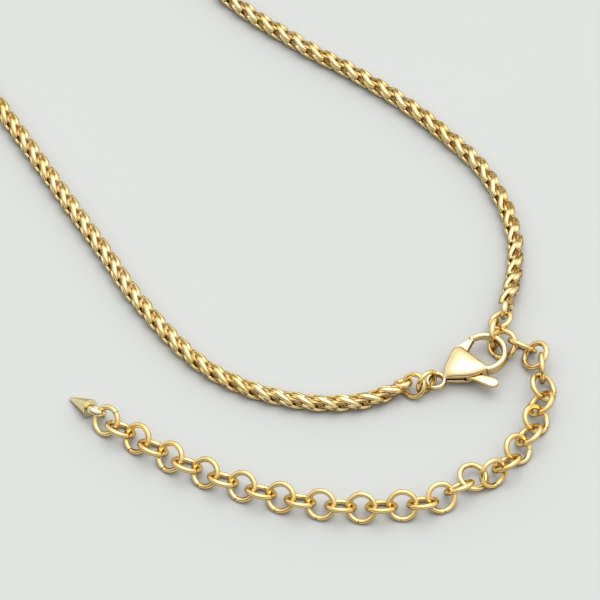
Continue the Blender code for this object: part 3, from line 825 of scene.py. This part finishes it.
# %% The tree for the woven chain: the links' places
stations = add_node(weave_tree, "GeometryNodeCurveToPoints", {
    "Curve": weave_inputs.outputs["Geometry"],
    "Length": weave_inputs.outputs["Link step"],
}, mode="LENGTH")
backwards = add_node(weave_tree, "ShaderNodeVectorMath", {
    0: stations.outputs["Tangent"],
    "Scale": -1.0,
}, operation="SCALE")
along_route = add_node(weave_tree, "FunctionNodeAlignRotationToVector", {
    "Vector": backwards.outputs["Vector"],
}, axis="X")
upright = add_node(weave_tree, "FunctionNodeAlignRotationToVector", {
    "Rotation": along_route.outputs["Rotation"],
    "Vector": (0.0, 0.0, 1.0),
}, axis="Z", pivot_axis="X")
count_up = add_node(weave_tree, "GeometryNodeInputIndex")
wobble = add_node(weave_tree, "FunctionNodeRandomValue", {
    "Min": -1.0,
    "Max": 1.0,
    "Seed": weave_inputs.outputs["Seed"],
}, data_type="FLOAT")
wobble_angle = add_node(weave_tree, "ShaderNodeMath", {
    0: wobble.outputs["Value"],
    1: weave_inputs.outputs["Looseness"],
}, operation="MULTIPLY")
distance_along = add_node(weave_tree, "ShaderNodeMath", {
    0: count_up.outputs["Index"],
    1: weave_inputs.outputs["Link step"],
}, operation="MULTIPLY")
twist = add_node(weave_tree, "ShaderNodeMapRange", {
    "Value": distance_along.outputs[0],
    "From Min": weave_inputs.outputs["Twist from"],
    "From Max": weave_inputs.outputs["Twist to"],
    "To Max": weave_inputs.outputs["Twist"],
}, interpolation_type="SMOOTHSTEP")
twist_and_wobble = add_node(weave_tree, "ShaderNodeMath", {
    0: twist.outputs["Result"],
    1: wobble_angle.outputs[0],
}, operation="ADD")
link_turn = add_node(weave_tree, "ShaderNodeMath", {
    0: count_up.outputs["Index"],
    1: math.pi / 2,
    2: twist_and_wobble.outputs[0],
}, operation="MULTIPLY_ADD")
about_route = add_node(weave_tree, "FunctionNodeAxisAngleToRotation", {
    "Axis": (1.0, 0.0, 0.0),
    "Angle": link_turn.outputs[0],
})
link_pose = add_node(weave_tree, "FunctionNodeRotateRotation", {
    "Rotation": upright.outputs["Rotation"],
    "Rotate By": about_route.outputs["Rotation"],
}, rotation_space="LOCAL")
links = add_node(weave_tree, "GeometryNodeInstanceOnPoints", {
    "Points": stations.outputs["Points"],
    "Instance": pressed_link.outputs["Geometry"],
    "Rotation": link_pose.outputs["Rotation"],
})
print("nodes with the places:", len(weave_tree.nodes))

# %% [markdown]
# The folds of the links cross in the middle of a real chain and close the view through it.
# Folds that deep would cost many faces and hardly show, so a thin brown core line takes
# their place; its brown is painted shade for the deep folds.

# %% The tree for the woven chain: its core
CORE_SIDES = 6
CORE_PAINTED_SHADE = 0.8

core_section = add_node(weave_tree, "GeometryNodeCurvePrimitiveCircle", {
    "Resolution": CORE_SIDES,
    "Radius": weave_inputs.outputs["Core radius"],
})
core_mesh = add_node(weave_tree, "GeometryNodeCurveToMesh", {
    "Curve": weave_inputs.outputs["Geometry"],
    "Profile Curve": core_section.outputs["Curve"],
    "Fill Caps": True,
})
# Painted shade: the core is marked mostly brown, as the folds it stands for lie in shade.
marked_core = add_node(weave_tree, "GeometryNodeStoreNamedAttribute", {
    "Geometry": core_mesh.outputs["Mesh"],
    "Name": "hollow",
    "Value": CORE_PAINTED_SHADE,
}, data_type="FLOAT", domain="POINT")
links_and_core = add_node(weave_tree, "GeometryNodeJoinGeometry")
for part in (marked_core.outputs["Geometry"], links.outputs["Instances"]):
    weave_tree.links.new(part, links_and_core.inputs["Geometry"])
end_tree(weave_tree, links_and_core.outputs["Geometry"], weave_inputs.outputs["Material"])
print("nodes in the weaving tree:", len(weave_tree.nodes))

# %% [markdown]
# The tree now runs once on the route. About three hundred links come out of it, so each is
# cut coarsely, into seventy faces. Its wire has five corners round, which shading smooths.

# %% Weave the chain
WOVEN_WIRE = 0.80
WOVEN_WIRE_POINTS = 5
CORE_RADIUS = 0.50
HOLLOW_FROM = 0.50
HOLLOW_TO = 0.95
LOOSENESS = math.radians(2.5)
WOBBLE_SEED = 7
TWIST_STRETCH = (95.0, 345.0)
TWIST = math.radians(-50)

woven = plain_piece("woven_wheat_chain", curve_object("route", route), weave_tree, {
    "Link guide": link_guide,
    "Link step": LINK_STEP * MM,
    "Wire size": WOVEN_WIRE * MM,
    "Wire points": WOVEN_WIRE_POINTS,
    "Drawn radius": CHAIN_WIDTH / 2 * MM,
    "Core radius": CORE_RADIUS * MM,
    "Hollow from": HOLLOW_FROM * MM,
    "Hollow to": HOLLOW_TO * MM,
    "Looseness": LOOSENESS,
    "Seed": WOBBLE_SEED,
    "Twist from": TWIST_STRETCH[0] * MM,
    "Twist to": TWIST_STRETCH[1] * MM,
    "Twist": TWIST,
    "Material": woven_gold,
})
bpy.data.objects.remove(link_guide, do_unlink=True)

# %% [markdown]
# At each end the last link's eyes go round a jump ring. A ring of the woven wire stands for
# them, made by the same tree as the jump rings. The chain and its end loops then take the
# place of the plain rod of the CAD model.

# %% The chain's end loops
LOOP_OUTER = 2.60

end_loops = rings_at("chain_end_loops", [
    (aim + START_LOOP * MM, START_FACING),
    (aim + END_LOOP * MM, END_FACING),
], [SEAM_DOWN, SEAM_DOWN], LOOP_OUTER, WOVEN_WIRE, woven_gold)
for piece in (woven, end_loops):
    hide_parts("wheat_chain")
    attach(piece, "root")

# %% [markdown]
# ## The clasp
#
# A lobster clasp is cast in brass and polished: two domed shells with a slot between them,
# an eye at one end and a hook at the other. A lever turns on a pin in the slot. Its gate
# closes the hook, its tab sticks out for a thumb. The hook's band is highest at its root,
# where it leaves the shells, and lowest at its tip. Polishing leaves no sharp edge and no
# seam where the parts of the casting meet.
#
# Sharp solids with a bevel on every edge would be one way. Here the plain solids are put
# together, turned into one skin of tiny even faces by a voxel Remesh, and smoothed a
# little, which rounds all edges and fills all corners at once, as polishing does. The sizes
# are those of the CAD clasp, in its own frame: U from the eye to the hook, V across, W up.
# The shell's outlines are shares of the clasp's reach, so they grow and shrink with it.

# %% The clasp's frame
CLASP_PLACE = Vector((17.52, -14.54, 1.23))
CLASP_HEADING = math.radians(23)
CLASP_TILT = math.radians(6)
CLASP_REACH = 7.23
PIN_PLACE = (4.497, -0.947)
clasp_frame = (
    Matrix.Translation(aim + CLASP_PLACE * MM)
    @ Matrix.Rotation(CLASP_HEADING, 4, "Z")
    @ Matrix.Rotation(-CLASP_TILT, 4, "Y")
)


def scaled(outline):
    """Give an outline at its real size in millimetres, from shares of the clasp's reach."""
    return [Vector((CLASP_REACH * u, CLASP_REACH * v, 0.0)) for u, v in outline]


pin_spot = clasp_frame @ (Vector((*PIN_PLACE, 0.0)) * MM)
print("the lever's pin is at", [round(value / MM, 2) for value in pin_spot], "mm")

# %% [markdown]
# Every solid of the clasp is a stack: closed outlines with equally many corners, one above
# the other, joined by faces. A prism has two of them. A band bent about an upright axis has
# many, set round the axis, and its edges are eased so that Remesh doesn't tear them.

# %% Helpers for stacked solids
BAND_EASE = 0.28


def stacked_solid(outlines):
    """Make a closed solid from outlines of equal length, from the lowest to the highest."""
    shape = bmesh.new()
    rows = [[shape.verts.new(point * MM) for point in outline] for outline in outlines]
    for low, high in zip(rows, rows[1:]):
        for spot in range(len(low)):
            after = (spot + 1) % len(low)
            shape.faces.new((low[spot], low[after], high[after], high[spot]))
    shape.faces.new(rows[0][::-1])
    shape.faces.new(rows[-1])
    bmesh.ops.recalc_face_normals(shape, faces=shape.faces)
    mesh = bpy.data.meshes.new("solid")
    shape.to_mesh(mesh)
    shape.free()
    return linked_object("solid", mesh)


def prism(outline, low, high):
    """Make a closed prism of an outline between two heights."""
    return stacked_solid([
        [Vector((point[0], point[1], height)) for point in outline] for height in (low, high)
    ])


def wedge(outline, heights):
    """Make a wedge over four corners: the first height is that of the first two."""
    halves = (heights[0] / 2, heights[0] / 2, heights[1] / 2, heights[1] / 2)
    return stacked_solid([
        [Vector((point[0], point[1], side * half)) for point, half in zip(outline, halves)]
        for side in (-1, 1)
    ])


def arc_points(centre, radius, start, end, steps):
    """Give the points of an arc."""
    angles = [start + (end - start) * step / steps for step in range(steps + 1)]
    return [
        Vector((centre[0] + radius * math.cos(a), centre[1] + radius * math.sin(a), 0.0))
        for a in angles
    ]


def band_part(centre, outer, width, heights, start, end, steps):
    """Make a band with eased edges, bent about an upright axis, with a height at each end."""
    ease = BAND_EASE * width
    inner = outer - width
    sections = []
    for step in range(steps + 1):
        angle = start + (end - start) * step / steps
        half = (heights[0] + (heights[1] - heights[0]) * step / steps) / 2
        side = (
            (inner, -half + ease), (inner + ease, -half),
            (outer - ease, -half), (outer, -half + ease),
            (outer, half - ease), (outer - ease, half),
            (inner + ease, half), (inner, half - ease),
        )
        sections.append([
            Vector((centre[0] + radius * math.cos(angle),
                    centre[1] + radius * math.sin(angle), level))
            for radius, level in side
        ])
    return stacked_solid(sections)


print("a band's edges are eased by", BAND_EASE, "of its width")

# %% [markdown]
# The shells are pillows. The outline is read as a smooth line, and each level above it is a
# smaller and rounder one, so that the dome's top is even while its rim keeps the outline's
# corners. A pillow serves the lever's tab too.

# %% A helper for pillows
DOME_STEPS = 16
DOME_FULLNESS = 2.5
DOME_BLUR = range(-3, 4)
SMALLEST_LEVEL = 0.02
OUTLINE_PARTS = 8


def pillow(outline, middle, half_height, rim):
    """Make a pillow over an outline, whose levels grow rounder towards its two tops."""
    corners = scaled(outline)
    centre = np.array(scaled((middle,))[0])
    level = np.array(smooth_line(corners + corners[:1], OUTLINE_PARTS)[:-1]) - centre
    reach = np.linalg.norm(level, axis=1).mean()
    upper = []
    for step in range(DOME_STEPS + 1):
        size = math.cos(math.pi / 2 * step / DOME_STEPS) ** (2 / DOME_FULLNESS)
        size = max(SMALLEST_LEVEL, size)
        height = half_height * (rim + (1 - rim) * math.sqrt(1 - size ** DOME_FULLNESS))
        row = centre + size * level * reach / np.linalg.norm(level, axis=1).mean()
        row[:, 2] = height
        upper.append(row)
        level = sum(np.roll(level, shift, axis=0) for shift in DOME_BLUR) / len(DOME_BLUR)
    rows = [row * (1, 1, -1) for row in upper[::-1]] + upper
    return stacked_solid([[Vector(point) for point in row] for row in rows])


print("a pillow's half has", DOME_STEPS + 1, "levels")

# %% [markdown]
# Cutting is done on the plain solids, where it is exact. Polishing comes last, on all the
# solids of a casting together, and then the piece is set in its place.

# %% Helpers to cut and to polish
POLISH_STRENGTH = 0.5


def cut_away(thing, tool):
    """Cut one solid out of another."""
    modifier = thing.modifiers.new("cut", "BOOLEAN")
    modifier.operation = "DIFFERENCE"
    modifier.solver = "EXACT"
    modifier.object = tool
    carved = plain_piece("carved_solid", thing)
    bpy.data.objects.remove(tool, do_unlink=True)
    return carved


def polished_casting(name, solids, voxel, rounds, material):
    """Join solids into one smooth skin, as a casting is polished, and set it in place."""
    shape = bmesh.new()
    for solid in solids:
        shape.from_mesh(solid.data)
        bpy.data.objects.remove(solid, do_unlink=True)
    mesh = bpy.data.meshes.new(name)
    shape.to_mesh(mesh)
    shape.free()
    carrier = linked_object(name, mesh)
    remesh = carrier.modifiers.new("one skin", "REMESH")
    remesh.mode = "VOXEL"
    remesh.voxel_size = voxel * MM
    smooth = carrier.modifiers.new("polish", "SMOOTH")
    smooth.factor = POLISH_STRENGTH
    smooth.iterations = rounds
    piece = plain_piece(name, carrier)
    piece.data.transform(clasp_frame)
    piece.data.shade_smooth()
    piece.data.materials.clear()
    piece.data.materials.append(material)
    return piece


print("polishing moves a corner by", POLISH_STRENGTH, "of the way to its neighbours' middle")

# %% [markdown]
# The body's two shells are one pillow, split by the slot for the lever. A narrow wedge runs
# on from the slot towards the eye: it is the dark line that one sees between the shells.

# %% The clasp's shells
SHELL_OUTLINE = (
    (0.140, -0.030), (0.243, 0.174), (0.360, 0.277), (0.532, 0.455), (0.643, 0.455),
    (0.732, 0.313), (0.826, 0.072), (0.925, -0.147), (0.878, -0.230), (0.596, -0.236),
    (0.386, -0.156),
)
SHELL_MIDDLE = (0.57, 0.06)
SHELL_HALF_HEIGHT = 1.32
SHELL_RIM = 0.40
SLOT_OUTLINE = (
    (0.470, -0.360), (0.470, 0.280), (0.484, 0.297), (0.519, 0.553), (1.134, 0.553),
    (1.134, -0.083), (0.788, -0.083), (0.788, -0.360),
)
SLOT_HEIGHT = 0.84
SLOT_WEDGE = ((0.180, -0.360), (0.180, 0.000), (0.472, 0.284), (0.472, -0.360))
SLOT_WEDGE_HEIGHTS = (0.44, 0.40)

shells = pillow(SHELL_OUTLINE, SHELL_MIDDLE, SHELL_HALF_HEIGHT, SHELL_RIM)
shells = cut_away(shells, prism(scaled(SLOT_OUTLINE), -SLOT_HEIGHT / 2, SLOT_HEIGHT / 2))
shells = cut_away(shells, wedge(scaled(SLOT_WEDGE), SLOT_WEDGE_HEIGHTS))

# %% [markdown]
# The hook and the eye are flat bands, bent round. The gate needs room at the hook's tip, so
# its sweep about the pin is cut from the hook.

# %% The clasp's hook and eye
HOOK_CENTRE = (7.23, 1.244)
HOOK_OUTER = 3.18
HOOK_BAND = 0.72
HOOK_HEIGHTS = (1.60, 0.90)
HOOK_START = math.radians(-104)
HOOK_TIP = math.radians(102)
HOOK_STEPS = 72
GATE_REACH = 5.205
GATE_CLEARANCE = 0.09
GATE_ROOM = (math.radians(54), math.radians(76.5))
GATE_ROOM_STEPS = 24
EYE_OUTER = 1.30
EYE_BAND = 0.42
EYE_HEIGHTS = (0.90, 0.90)
EYE_STEPS = 48

hook = band_part(
    HOOK_CENTRE, HOOK_OUTER, HOOK_BAND, HOOK_HEIGHTS, HOOK_START, HOOK_TIP, HOOK_STEPS
)
gate_sweep = arc_points(PIN_PLACE, GATE_REACH + GATE_CLEARANCE, *GATE_ROOM, GATE_ROOM_STEPS)
gate_room = prism([Vector((*PIN_PLACE, 0.0))] + gate_sweep, -HOOK_HEIGHTS[0], HOOK_HEIGHTS[0])
hook = cut_away(hook, gate_room)
eye = band_part((0.0, 0.0), EYE_OUTER, EYE_BAND, EYE_HEIGHTS, 0.0, 2 * math.pi, EYE_STEPS)
print("the hook is", 2 * HOOK_OUTER, "mm wide and the eye", 2 * EYE_OUTER, "mm")

# %% [markdown]
# The pin goes through the slot and ends inside the shells. With it, the body's solids are
# complete, and they are polished to one casting.

# %% The clasp's pin, and the body in one piece
PIN_RADIUS = 0.42
PIN_SEAT = 0.38
PIN_STEPS = 24
BODY_VOXEL = 0.06
BODY_POLISH = 5

pin_outline = arc_points(PIN_PLACE, PIN_RADIUS, 0.0, 2 * math.pi, PIN_STEPS)[:-1]
pin_end = SLOT_HEIGHT / 2 + PIN_SEAT
pin = prism(pin_outline, -pin_end, pin_end)
clasp_body = polished_casting(
    "clasp_casting", [shells, hook, eye, pin], BODY_VOXEL, BODY_POLISH, clasp_gold
)
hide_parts("clasp_body")
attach(clasp_body, "root")

# %% [markdown]
# The lever is a flat plate in the slot, with a round hub on the pin. Both are drilled a
# little wider than the pin, so that the lever turns free.

# %% The lever's plate and hub
LEVER_CLEARANCE = 0.09
PIN_CLEARANCE = 0.08
LEVER_HUB_RADIUS = 0.95
HUB_STEPS = 40
LEVER_OUTLINE = (
    (0.498, -0.166), (0.491, -0.028), (0.519, 0.194), (0.540, 0.360), (0.588, 0.475),
    (0.800, 0.520), (0.840, 0.460), (0.750, 0.320), (0.740, 0.055), (0.747, -0.152),
    (0.733, -0.221),
)

plate = SLOT_HEIGHT / 2 - LEVER_CLEARANCE
lever_plate = prism(scaled(LEVER_OUTLINE), -plate, plate)
hub_outline = arc_points(PIN_PLACE, LEVER_HUB_RADIUS, 0.0, 2 * math.pi, HUB_STEPS)[:-1]
hub = prism(hub_outline, -plate, plate)
hole_radius = PIN_RADIUS + PIN_CLEARANCE
hole_outline = arc_points(PIN_PLACE, hole_radius, 0.0, 2 * math.pi, PIN_STEPS)[:-1]
lever_solids = [
    cut_away(solid, prism(hole_outline, -SLOT_HEIGHT, SLOT_HEIGHT))
    for solid in (lever_plate, hub)
]

# %% [markdown]
# The gate is about as high as the hook's tip, and its end follows a circle about the pin, so
# that it closes the hook without a step. The tab is fat, because a thumb has to find it. The
# lever is a casting of its own, and rides on the body that the hinge moves.

# %% The lever's gate and tab, and the lever in one piece
GATE_HEIGHT = 0.96
GATE_ARC = (math.radians(61), math.radians(69.5))
GATE_END_STEPS = 8
GATE_SIDES = ((0.588, 0.487), (0.680, 0.478), (0.754, 0.324), (0.920, 0.473))
TAB_MIDDLE = (0.78, -0.40)
TAB_OUTLINE = (
    (0.567, -0.150), (0.567, -0.225), (0.636, -0.325), (0.692, -0.402), (0.780, -0.518),
    (0.866, -0.580), (0.955, -0.562), (0.985, -0.490), (0.905, -0.352), (0.785, -0.282),
    (0.700, -0.150),
)
TAB_PROUD = 0.06
TAB_RIM = 0.45
LEVER_VOXEL = 0.05
LEVER_POLISH = 3

gate_end = arc_points(PIN_PLACE, GATE_REACH, *GATE_ARC, GATE_END_STEPS)
gate_sides = scaled(GATE_SIDES)
gate = prism(gate_sides[2:] + gate_end + gate_sides[:2], -GATE_HEIGHT / 2, GATE_HEIGHT / 2)
tab = pillow(TAB_OUTLINE, TAB_MIDDLE, plate + TAB_PROUD, TAB_RIM)
lever = polished_casting(
    "clasp_lever_casting", lever_solids + [gate, tab], LEVER_VOXEL, LEVER_POLISH, clasp_gold
)
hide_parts("clasp_lever")
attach(lever, "lever")

# %% [markdown]
# ## The small cone
#
# The extender ends in a cone turned from brass rod, with a flat eye soldered to its base.
# It lies on its side, so its axis droops from the middle of the base to the tip. Its eye
# hangs on the last link, and its place is worked out from that link, as in the CAD model.

# %% Where the cone lies
CAD_LINK_WIRE = 0.56
CONE_LENGTH = 3.8
CONE_BASE = 2.45
CONE_TIP = 0.36
CONE_HEADING = math.radians(138)
CONE_EYE_OUTER = 2.60
CONE_EYE_BAND = 0.42
CONE_HANG = math.radians(124)
CONE_EYE_SLACK = 0.32
SOLDER_DEPTH = 0.22

link_centre, link_normal = [Vector(value) for value in ring_place("extender_link_32")]
hang = Vector((math.cos(CONE_HANG), math.sin(CONE_HANG), 0.0))
hang_way = (hang - hang.dot(link_normal) * link_normal).normalized()
held = link_centre / MM + (LINK_OUTER - LINK_WIRE) / 2 * hang_way
droop = math.atan2((CONE_BASE - CONE_TIP) / 2, CONE_LENGTH)
outward = Vector((math.cos(CONE_HEADING), math.sin(CONE_HEADING), 0.0))
cone_axis = math.cos(droop) * outward - Vector((0.0, 0.0, math.sin(droop)))
stem = CONE_EYE_OUTER / 2 - SOLDER_DEPTH
play = CONE_EYE_OUTER / 2 - CONE_EYE_BAND - CAD_LINK_WIRE / 2 - CONE_EYE_SLACK
cone_base = Vector((held.x, held.y, 0.0)) + (stem + play) * math.cos(droop) * outward
cone_base.z = CONE_BASE / 2 * math.cos(droop)
print("the cone's base is at", [round(value, 2) for value in cone_base], "mm")

# %% [markdown]
# A lathe makes the cone, so its profile is spun about its axis. The base's edge and the tip
# are slightly rounded, because a real edge always catches a line of light. Two close loops
# at each end of the flank keep its shading straight.

# %% Spin the cone
CONE_SIDES = 64
EDGE = 0.09
FLANK_SHARES = (0.0, 0.02, 0.5, 0.96, 1.0)
TIP_ROUND = 0.03
TIP_LENGTH = 0.12
WELD_DISTANCE = 0.0005
SHARP_ANGLE = math.radians(50)

base_radius = CONE_BASE / 2
tip_radius = CONE_TIP / 2
base_profile = [
    (0.0, 0.0),
    (base_radius - 3 * EDGE, 0.0),
    (base_radius - 2 * EDGE, 0.0),
    (base_radius - EDGE, 0.2 * EDGE),
    (base_radius - 0.25 * EDGE, 0.7 * EDGE),
]
flank_start = Vector((base_radius - 0.28 * EDGE, 1.4 * EDGE))
flank_end = Vector((tip_radius + TIP_ROUND, CONE_LENGTH - TIP_LENGTH))
flank_profile = [tuple(flank_start.lerp(flank_end, share)) for share in FLANK_SHARES]
tip_profile = [(0.7 * tip_radius, CONE_LENGTH - TIP_ROUND), (0.0, CONE_LENGTH)]


def spun(profile, sides):
    """Spin a profile of radius and height about the Z axis, as a closed mesh in metres."""
    shape = bmesh.new()
    line = [shape.verts.new((radius * MM, 0.0, height * MM)) for radius, height in profile]
    edges = [shape.edges.new(pair) for pair in zip(line, line[1:])]
    bmesh.ops.spin(
        shape, geom=line + edges, angle=2 * math.pi, steps=sides, axis=(0, 0, 1), cent=(0, 0, 0)
    )
    bmesh.ops.remove_doubles(shape, verts=shape.verts, dist=WELD_DISTANCE * MM)
    bmesh.ops.recalc_face_normals(shape, faces=shape.faces)
    return shape


cone_shape = spun(base_profile + flank_profile + tip_profile, CONE_SIDES)
print("the spun cone has", len(cone_shape.faces), "faces")

# %% [markdown]
# The eye is a flat band bent to a ring, which stands on edge on the middle of the base. Its
# solder makes it one piece with the cone, so both go into one mesh, which takes the place
# of the CAD cone.

# %% Set the cone in place, with its eye
CONE_EYE_HEIGHTS = (0.90, 0.90)


def turned_to(normal):
    """Give the turn that points +Z along a direction."""
    return normal.to_track_quat("Z", "Y").to_matrix().to_4x4()


cone_shape.transform(Matrix.Translation(cone_base * MM) @ turned_to(cone_axis))
tangent = link_normal.cross(hang_way)
eye_face = (tangent - tangent.dot(cone_axis) * cone_axis).normalized()
cone_eye = band_part(
    (0.0, 0.0), CONE_EYE_OUTER / 2, CONE_EYE_BAND, CONE_EYE_HEIGHTS, 0.0, 2 * math.pi, EYE_STEPS
)
cone_eye.data.transform(
    Matrix.Translation((cone_base - stem * cone_axis) * MM) @ turned_to(eye_face)
)
cone_shape.from_mesh(cone_eye.data)
bpy.data.objects.remove(cone_eye, do_unlink=True)
cone_mesh = bpy.data.meshes.new("turned_cone")
cone_shape.to_mesh(cone_mesh)
cone_shape.free()
cone_mesh.shade_smooth()
cone_mesh.set_sharp_from_angle(angle=SHARP_ANGLE)
cone_mesh.materials.append(cone_gold)
cone = linked_object("turned_cone", cone_mesh)
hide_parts("spike_drop")
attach(cone, "root")
print("the cone and its eye have", len(cone_mesh.polygons), "faces")

# %% [markdown]
# ## The surface, the light and the camera
#
# The necklace lies on a plain pale board. It is matt, so that it takes soft shadows and
# mirrors nothing, and its tone is nearly even. The board is part of the stage, not of the
# necklace.

# %% The pale surface
FLOOR_SIZE = 3.0
FLOOR_TONES = ("c3c5c3", "c7c8c6")
FLOOR_DRIFT_SCALE = 12.0
FLOOR_ROUGHNESS = 0.85
FLOOR_SPECULAR = 0.2


def floor_paint():
    """Make a matt pale board: fibreboard sprayed white, with a very fine uneven tone."""
    material = bpy.data.materials.new("matt_sprayed_board")
    material.use_nodes = True
    tree = material.node_tree
    shader = tree.nodes["Principled BSDF"]
    place = add_node(tree, "ShaderNodeTexCoord").outputs["Object"]
    drift = add_node(tree, "ShaderNodeTexNoise", {"Vector": place, "Scale": FLOOR_DRIFT_SCALE})
    tone = add_node(tree, "ShaderNodeMix", {
        "Factor": drift.outputs["Fac"],
        "A": linear(FLOOR_TONES[0]),
        "B": linear(FLOOR_TONES[1]),
    }, data_type="RGBA")
    tree.links.new(tone.outputs["Result"], shader.inputs["Base Color"])
    shader.inputs["Roughness"].default_value = FLOOR_ROUGHNESS
    shader.inputs["Specular IOR Level"].default_value = FLOOR_SPECULAR
    return material


floor_mesh = bpy.data.meshes.new("pale_board")
far = FLOOR_SIZE / 2
floor_mesh.from_pydata(
    [(-far, -far, 0.0), (far, -far, 0.0), (far, far, 0.0), (-far, far, 0.0)],
    [],
    [(0, 1, 2, 3)],
)
floor_mesh.materials.append(floor_paint())
floor = linked_object("pale_board", floor_mesh)
print("the board is", FLOOR_SIZE, "m wide")

# %% [markdown]
# The light is one large soft box, a disk that hangs a little behind the spot and to its
# right. A small lamp would give hard shadows and hard glints on the wires.

# %% The soft box
KEY_POWER = 1.8
KEY_SIZE = 0.9
KEY_DISTANCE = 1.05
KEY_ELEVATION = math.radians(74)
KEY_HEADING = math.radians(62)

key_way = Vector((
    math.cos(KEY_ELEVATION) * math.cos(KEY_HEADING),
    math.cos(KEY_ELEVATION) * math.sin(KEY_HEADING),
    math.sin(KEY_ELEVATION),
))
key_data = bpy.data.lights.new("soft_box", "AREA")
key_data.shape = "DISK"
key_data.size = KEY_SIZE
key_data.energy = KEY_POWER
key = linked_object("soft_box", key_data)
key.location = aim + KEY_DISTANCE * key_way
key.rotation_euler = (-key_way).to_track_quat("-Z", "Y").to_euler()
print("the soft box hangs", round(key.location.z, 2), "m above the board")

# %% [markdown]
# Polished metal shows what is around it more than its own colour, so the room is drawn too.
# It is white above and behind, which gives each wire a broad bright line, and dark towards
# the viewer, which gives it a dark lower edge. A wide glow round the light keeps its
# reflection from having a hard rim.

# %% The room
ROOM_DARK = "625e55"
ROOM_PALE = "fdfefe"
ROOM_LEAN = Vector((0.15, 0.45, 0.88)).normalized()
ROOM_FADE = (-0.33, 0.50)
GLOW_GAIN = 2.1
GLOW_EDGE = math.radians(46)
GLOW_CORE = math.radians(17)

world = bpy.data.worlds.new("pale_room")
world.use_nodes = True
bpy.context.scene.world = world
room = world.node_tree
look = add_node(room, "ShaderNodeTexCoord").outputs["Generated"]
towards_pale = add_node(room, "ShaderNodeVectorMath", {
    0: look,
    1: ROOM_LEAN,
}, operation="DOT_PRODUCT")
pale_share = add_node(room, "ShaderNodeMapRange", {
    "Value": towards_pale.outputs["Value"],
    "From Min": ROOM_FADE[0],
    "From Max": ROOM_FADE[1],
}, interpolation_type="SMOOTHSTEP")
room_tone = add_node(room, "ShaderNodeMix", {
    "Factor": pale_share.outputs["Result"],
    "A": linear(ROOM_DARK),
    "B": linear(ROOM_PALE),
}, data_type="RGBA")
towards_key = add_node(room, "ShaderNodeVectorMath", {
    0: look,
    1: key_way,
}, operation="DOT_PRODUCT")
glow = add_node(room, "ShaderNodeMapRange", {
    "Value": towards_key.outputs["Value"],
    "From Min": math.cos(GLOW_EDGE),
    "From Max": math.cos(GLOW_CORE),
    "To Min": 1.0,
    "To Max": GLOW_GAIN,
}, interpolation_type="SMOOTHSTEP")
room.links.new(room_tone.outputs["Result"], room.nodes["Background"].inputs["Color"])
room.links.new(glow.outputs["Result"], room.nodes["Background"].inputs["Strength"])
bpy.context.scene.view_settings.view_transform = "Standard"
print("nodes that draw the room:", len(room.nodes))

# %% [markdown]
# The camera stands where a product photographer would put it, well back with a long lens, so
# that near and far rings show nearly the same size. It looks down at the spot that all the
# places above are measured from.

# %% The camera
CAMERA_ELEVATION = math.radians(50.8)
CAMERA_LENS = 300.0
CAMERA_SENSOR = 36.0
CAMERA_DISTANCE = 0.6536
CAMERA_NEAREST = 0.01
CAMERA_FURTHEST = 20.0

camera_data = bpy.data.cameras.new("camera")
camera_data.lens = CAMERA_LENS
camera_data.sensor_width = CAMERA_SENSOR
camera_data.clip_start = CAMERA_NEAREST
camera_data.clip_end = CAMERA_FURTHEST
camera = linked_object("camera", camera_data)
camera_way = Vector((0.0, -math.cos(CAMERA_ELEVATION), math.sin(CAMERA_ELEVATION)))
camera.location = aim + CAMERA_DISTANCE * camera_way
camera.rotation_euler = (math.pi / 2 - CAMERA_ELEVATION, 0.0, 0.0)
bpy.context.scene.camera = camera
print("the camera stands", round(camera.location.z, 3), "m above the board")
